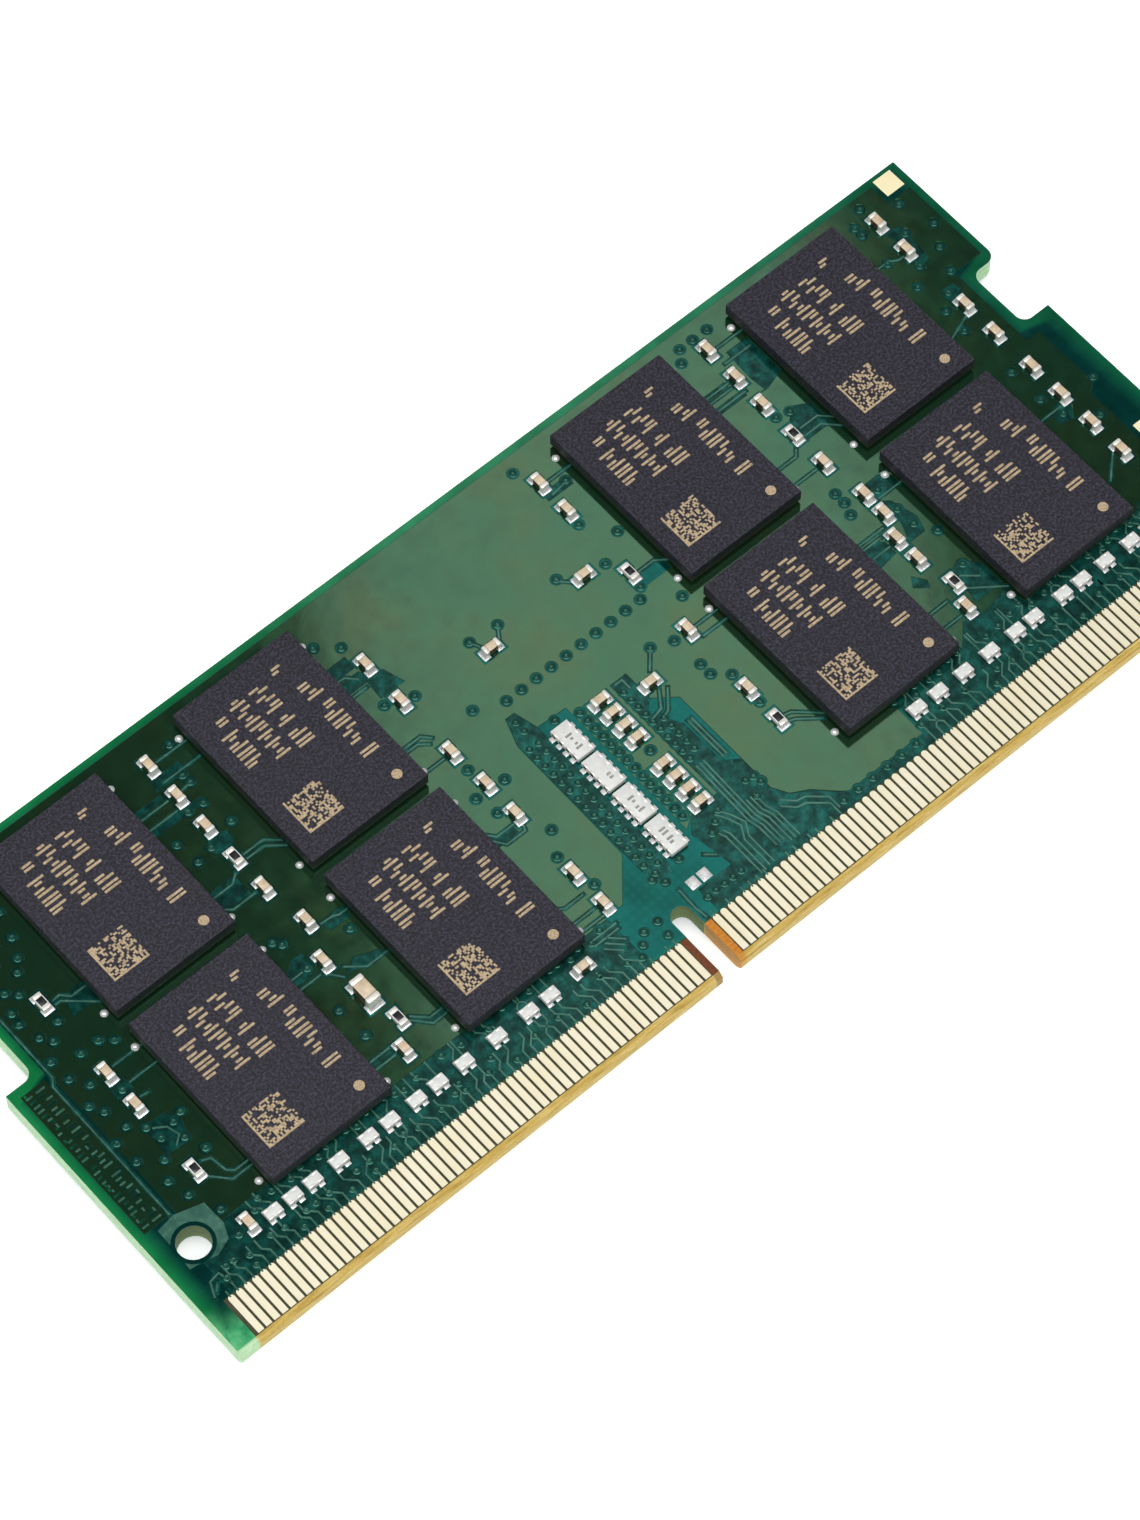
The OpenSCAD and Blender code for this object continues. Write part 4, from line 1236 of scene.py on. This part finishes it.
def stub_tracks(rng, side):
    """Short bent tracks and holes between the packs and the chips."""
    tracks, vias = [], []
    bend = STUB_Y[0] + 0.2
    for centre, _ in solids(f"{FACE_NAME[side]}_resistor_pairs"):
        middle, y = to_board(centre.x, centre.y)
        for x in (middle - PAIR_STEP, middle + PAIR_STEP):
            lean = rng.choice((-0.35, 0.0, 0.35))
            tracks.append([(x, y + 0.3), (x, bend), (x + lean, bend + abs(lean)), (x + lean, STUB_Y[1])])
            if rng.random() < 0.6:
                vias.append((x + rng.choice((-0.3, 0.3)), STUB_Y[0] + rng.uniform(0.2, 0.9)))
    for a, b in FAN_GROUPS:
        x = a + 0.8
        while x < b:
            vias.append((x, rng.choice((3.75, 4.05, 5.55, 5.8))))
            x += rng.uniform(0.45, 0.9)
    return tracks, vias


def spaced(vias, gap):
    """Drops every hole that would crowd an earlier one."""
    kept = []
    for v in vias:
        if all((v[0] - k[0]) ** 2 + (v[1] - k[1]) ** 2 > gap * gap for k in kept):
            kept.append(v)
    return kept


def clear_of_parts(vias, side):
    """Drops every hole that a land or gold pad covers."""
    boxes = land_boxes(side, VIA_R * 0.9)
    return [v for v in vias if not any(abs(v[0] - x) < w and abs(v[1] - y) < h for x, y, w, h in boxes)]


def off_openings(lines, openings):
    """Drops every line that runs over an opening of the board."""
    fields = boxed(openings)
    kept = []
    for line in lines:
        places = [Vector(a).lerp(Vector(b), k / 4) for a, b in zip(line, line[1:]) for k in range(5)]
        if not any(inside(p, fields) for p in places):
            kept.append(line)
    return kept


def layout(side, openings):
    """The tracks in the sheet, the tracks of the crowded stretches, and the plated holes of a face."""
    rng = random.Random(SEED + side)
    fan, fan_vias = fan_tracks(rng, side)
    stubs, stub_vias = stub_tracks(rng, side)
    tracks = TRACKS + [[(x + i * dx, y + i * dy) for x, y in line]
                       for line, n, (dx, dy) in BUNDLES for i in range(n)]
    vias = SINGLE_VIAS + [(x + i * dx, y + i * dy) for (x, y), (dx, dy), n in VIA_RUNS for i in range(n)]
    if side == LOWER:
        tracks, vias = [mirrored(t) for t in tracks], mirrored(vias)
    vias = clear_of_parts(spaced(vias + fan_vias + stub_vias, VIA_SPACING), side)
    vias = [v for v in vias if off_openings([[v, v]], openings)]
    return off_openings(tracks, openings), off_openings(fan + stubs, openings), vias


def ticks(rng, low, high, start, end):
    """Etched tally strokes in the copper along the left end, as boxes on the board."""
    boxes = []
    y = start
    while y < end:
        if rng.random() < 0.85:
            a = low + rng.choice((0, 0, 0.3)) * (high - low)
            b = high - rng.choice((0, 0, 0.35)) * (high - low)
            boxes.append((a, y, b, y + 0.15))
        if rng.random() < 0.4:
            x = rng.choice((low, high - 0.15))
            boxes.append((x, y + 0.1, x + 0.15, y + 0.34))
        y += 0.31
    return boxes


def key_outline(margin):
    """Outline of the key slot on the board, widened all round."""
    r = KEY_W / 2 + margin
    top = KEY_TOP - KEY_W / 2
    turns = [math.pi * k / 8 for k in range(9)]
    arc = [(KEY_PLACE + r * math.cos(a), top + r * math.sin(a)) for a in turns]
    return [(KEY_PLACE - r, -1.0), (KEY_PLACE + r, -1.0)] + arc


def build_sheet(name, side, outlines, holes, material, height, slope):
    """One raised sheet under the mask of a face."""
    shape = Shape()
    pour(shape, side, outlines, holes, height, slope)
    shape.piece(f"{FACE_NAME[side]}_{name}", material, "solder_mask")


def build_tracks(side, tracks, etched):
    """Raised tracks, and raised strokes on every other etched tick."""
    lines = Shape()
    for x0, y0, x1, y1 in etched[::2]:
        x, y = (x0 + x1) / 2, (y0 + y1) / 2
        ends = [(x0, y), (x1, y)] if x1 - x0 > y1 - y0 else [(x, y0), (x, y1)]
        tracks = tracks + [ends if side == UPPER else mirrored(ends)]
    for track in tracks:
        ribbon(lines, side, track, TRACK_W, TRACK_HEIGHT, TRACK_SLOPE)
    lines.piece(f"{FACE_NAME[side]}_tracks", TRACK_MASK, "solder_mask")


def build_vias(side, vias):
    """A raised ring and a sunken plug at every plated hole."""
    rings, wells = Shape(), Shape()
    ring = lathe(((VIA_WELL_R * MM, 0.5 * RELIEF * MM), ((VIA_WELL_R + 0.03) * MM, RELIEF * MM),
                  ((VIA_R - 0.05) * MM, RELIEF * MM), (VIA_R * MM, 0)), 12)
    well = lathe(((0, 0.3 * RELIEF * MM), (VIA_WELL_R * MM, 0.5 * RELIEF * MM)), 12)
    for x, y in vias:
        place = (*on_board(x, y), MASK_LEVEL[side])
        rings.moved(ring, place, side)
        wells.moved(well, place, side)
    rings.piece(f"{FACE_NAME[side]}_via_rings", VIA_MASK, "solder_mask", smooth=50)
    wells.piece(f"{FACE_NAME[side]}_via_wells", WELL, "solder_mask", smooth=50)


def build_relief(side):
    """The raised copper sheet, tracks and plated holes under the mask of one face."""
    openings = [circle_outline(x, y, DRILLED_R, 24) for x, y in DRILLED]
    openings += [key_outline(KEY_CLEAR)] + [rect_outline(*n) for n in NOTCH_CLEAR]
    tracks, crowded_tracks, vias = layout(side, openings)
    windows = laid_out(WINDOWS, side)
    patch = laid_out([HOLE_PATCH], side)
    tick_rng = random.Random(SEED)
    etched = [t for column in TICK_COLUMNS for t in ticks(tick_rng, *column)]

    holes = windows + [band_outline(t, TRACK_W / 2 + TRACK_GAP) for t in tracks]
    holes += [circle_outline(x, y, VIA_R + VIA_CLEAR, VIA_SIDES) for x, y in vias]
    holes += [rect_outline(x - w, y - h, x + w, y + h) for x, y, w, h in land_boxes(side, LAND_CLEAR)]
    holes += laid_out([rect_outline(*t) for t in etched], side) + openings + patch
    build_sheet("copper_sheet", side, laid_out(POUR_AREAS, side), holes, COPPER_MASK, RELIEF, RELIEF_SLOPE)
    build_sheet("hole_patch", side, patch, openings, TRACK_MASK, RELIEF, RELIEF_SLOPE)

    bare = [band_outline(t, TRACK_W / 2 + 0.9 * TRACK_GAP) for t in tracks]
    bare += [circle_outline(x, y, VIA_R + 0.4 * VIA_CLEAR, VIA_SIDES) for x, y in vias]
    bare += laid_out(CROWDED, side) + windows[:-BRIGHT_WINDOWS]
    build_sheet("copper_gaps", side, bare, openings, GAP_MASK, 0.1 * RELIEF, 0.02)
    build_tracks(side, tracks + crowded_tracks, etched)
    build_vias(side, vias)


for face_side in FACE_NAME:
    build_relief(face_side)


# ---------------------------------------------------------------- light and camera

AIM = Vector((-1.9 * MM, -1.0 * MM, 2.35 * MM))
CAMERA_FROM = math.radians(-130.745)
CAMERA_UP = math.radians(61.512)
CAMERA_ROLL = math.radians(-0.335)
CAMERA_DISTANCE = 286.7 * MM
LENS = 135.35
WALL_GLOW = 0.5
CEILING_GLOW = 0.06
# The lamps: the soft one that the board mirrors, with its shift from the mirrored view, and a wide one
LAMP_AWAY = 0.6
SOFTBOX_SHIFT = 0.023
SOFTBOX_SIZE = (0.095, 0.2)
SOFTBOX_RADIANCE = 1.65
SOFTBOX_LEAN = math.radians(21)
OVERHEAD_UP = math.radians(75)
OVERHEAD_SIZE = (0.8, 0.45)
OVERHEAD_RADIANCE = 4.0
FLOOR_REACH = 1.5


def direction(azimuth, elevation):
    level = math.cos(elevation)
    return Vector((math.cos(azimuth) * level, math.sin(azimuth) * level, math.sin(elevation)))


def in_scene(name, data):
    """A new object in the scene."""
    obj = bpy.data.objects.new(name, data)
    bpy.context.scene.collection.objects.link(obj)
    return obj


def look(obj, place, target, roll=0.0):
    """Puts an object at a place, with its -Z axis towards the target."""
    turn = (target - place).to_track_quat("-Z", "Y").to_matrix().to_4x4()
    obj.matrix_world = Matrix.Translation(place) @ turn @ Matrix.Rotation(roll, 4, "Z")


def soft_light(name, place, size, radiance, roll=0.0):
    """A rectangular light on the part that looks evenly bright, of a given radiance."""
    data = bpy.data.lights.new(name, "AREA")
    data.shape = "RECTANGLE"
    data.size, data.size_y = size
    data.energy = math.pi * size[0] * size[1] * radiance
    look(in_scene(name, data), place, AIM, roll)


def build_camera():
    data = bpy.data.cameras.new("camera")
    data.lens = LENS
    data.sensor_width = 36
    data.clip_start = 0.01
    data.clip_end = 10
    camera = in_scene("camera", data)
    look(camera, AIM + direction(CAMERA_FROM, CAMERA_UP) * CAMERA_DISTANCE, AIM, CAMERA_ROLL)
    bpy.context.scene.camera = camera


def build_room():
    """A pale room whose walls glow and whose ceiling is dim."""
    world = bpy.data.worlds.new("room")
    world.use_nodes = True
    tree = world.node_tree
    background = tree.nodes["Background"]
    background.inputs["Color"].default_value = (0.95, 0.98, 1.0, 1)
    towards = tree.nodes.new("ShaderNodeSeparateXYZ")
    tree.links.new(tree.nodes.new("ShaderNodeTexCoord").outputs["Generated"], towards.inputs[0])
    fade = tree.nodes.new("ShaderNodeMapRange")
    tree.links.new(towards.outputs[2], fade.inputs["Value"])
    for key, value in (("From Min", 0.0), ("From Max", 0.7), ("To Min", WALL_GLOW), ("To Max", CEILING_GLOW)):
        fade.inputs[key].default_value = value
    tree.links.new(fade.outputs["Result"], background.inputs["Strength"])
    bpy.context.scene.world = world


def build_lights():
    """The soft lamp that the board mirrors into the camera, and a wide lamp overhead."""
    away = direction(CAMERA_FROM + math.pi, CAMERA_UP)
    sideways = Vector((-math.sin(CAMERA_FROM), math.cos(CAMERA_FROM), 0))
    upwards = away.cross(sideways)
    place = AIM + away * LAMP_AWAY + sideways * SOFTBOX_SHIFT - upwards * SOFTBOX_SHIFT
    soft_light("board_reflection", place, SOFTBOX_SIZE, SOFTBOX_RADIANCE, SOFTBOX_LEAN)
    place = AIM + direction(CAMERA_FROM, OVERHEAD_UP) * LAMP_AWAY
    soft_light("overhead", place, OVERHEAD_SIZE, OVERHEAD_RADIANCE)


def build_floor():
    """The light table just under the part."""
    mesh = bpy.data.meshes.new("floor")
    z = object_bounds()[0][2] - 0.01 * MM
    corners = rect_outline(-FLOOR_REACH, -FLOOR_REACH, FLOOR_REACH, FLOOR_REACH)
    mesh.from_pydata([(*c, z) for c in corners], [], [(0, 1, 2, 3)])
    mesh.materials.append(FLOOR_PAPER)
    in_scene("floor", mesh)


build_camera()
build_room()
build_lights()
build_floor()
bpy.context.scene.view_settings.view_transform = "Standard"
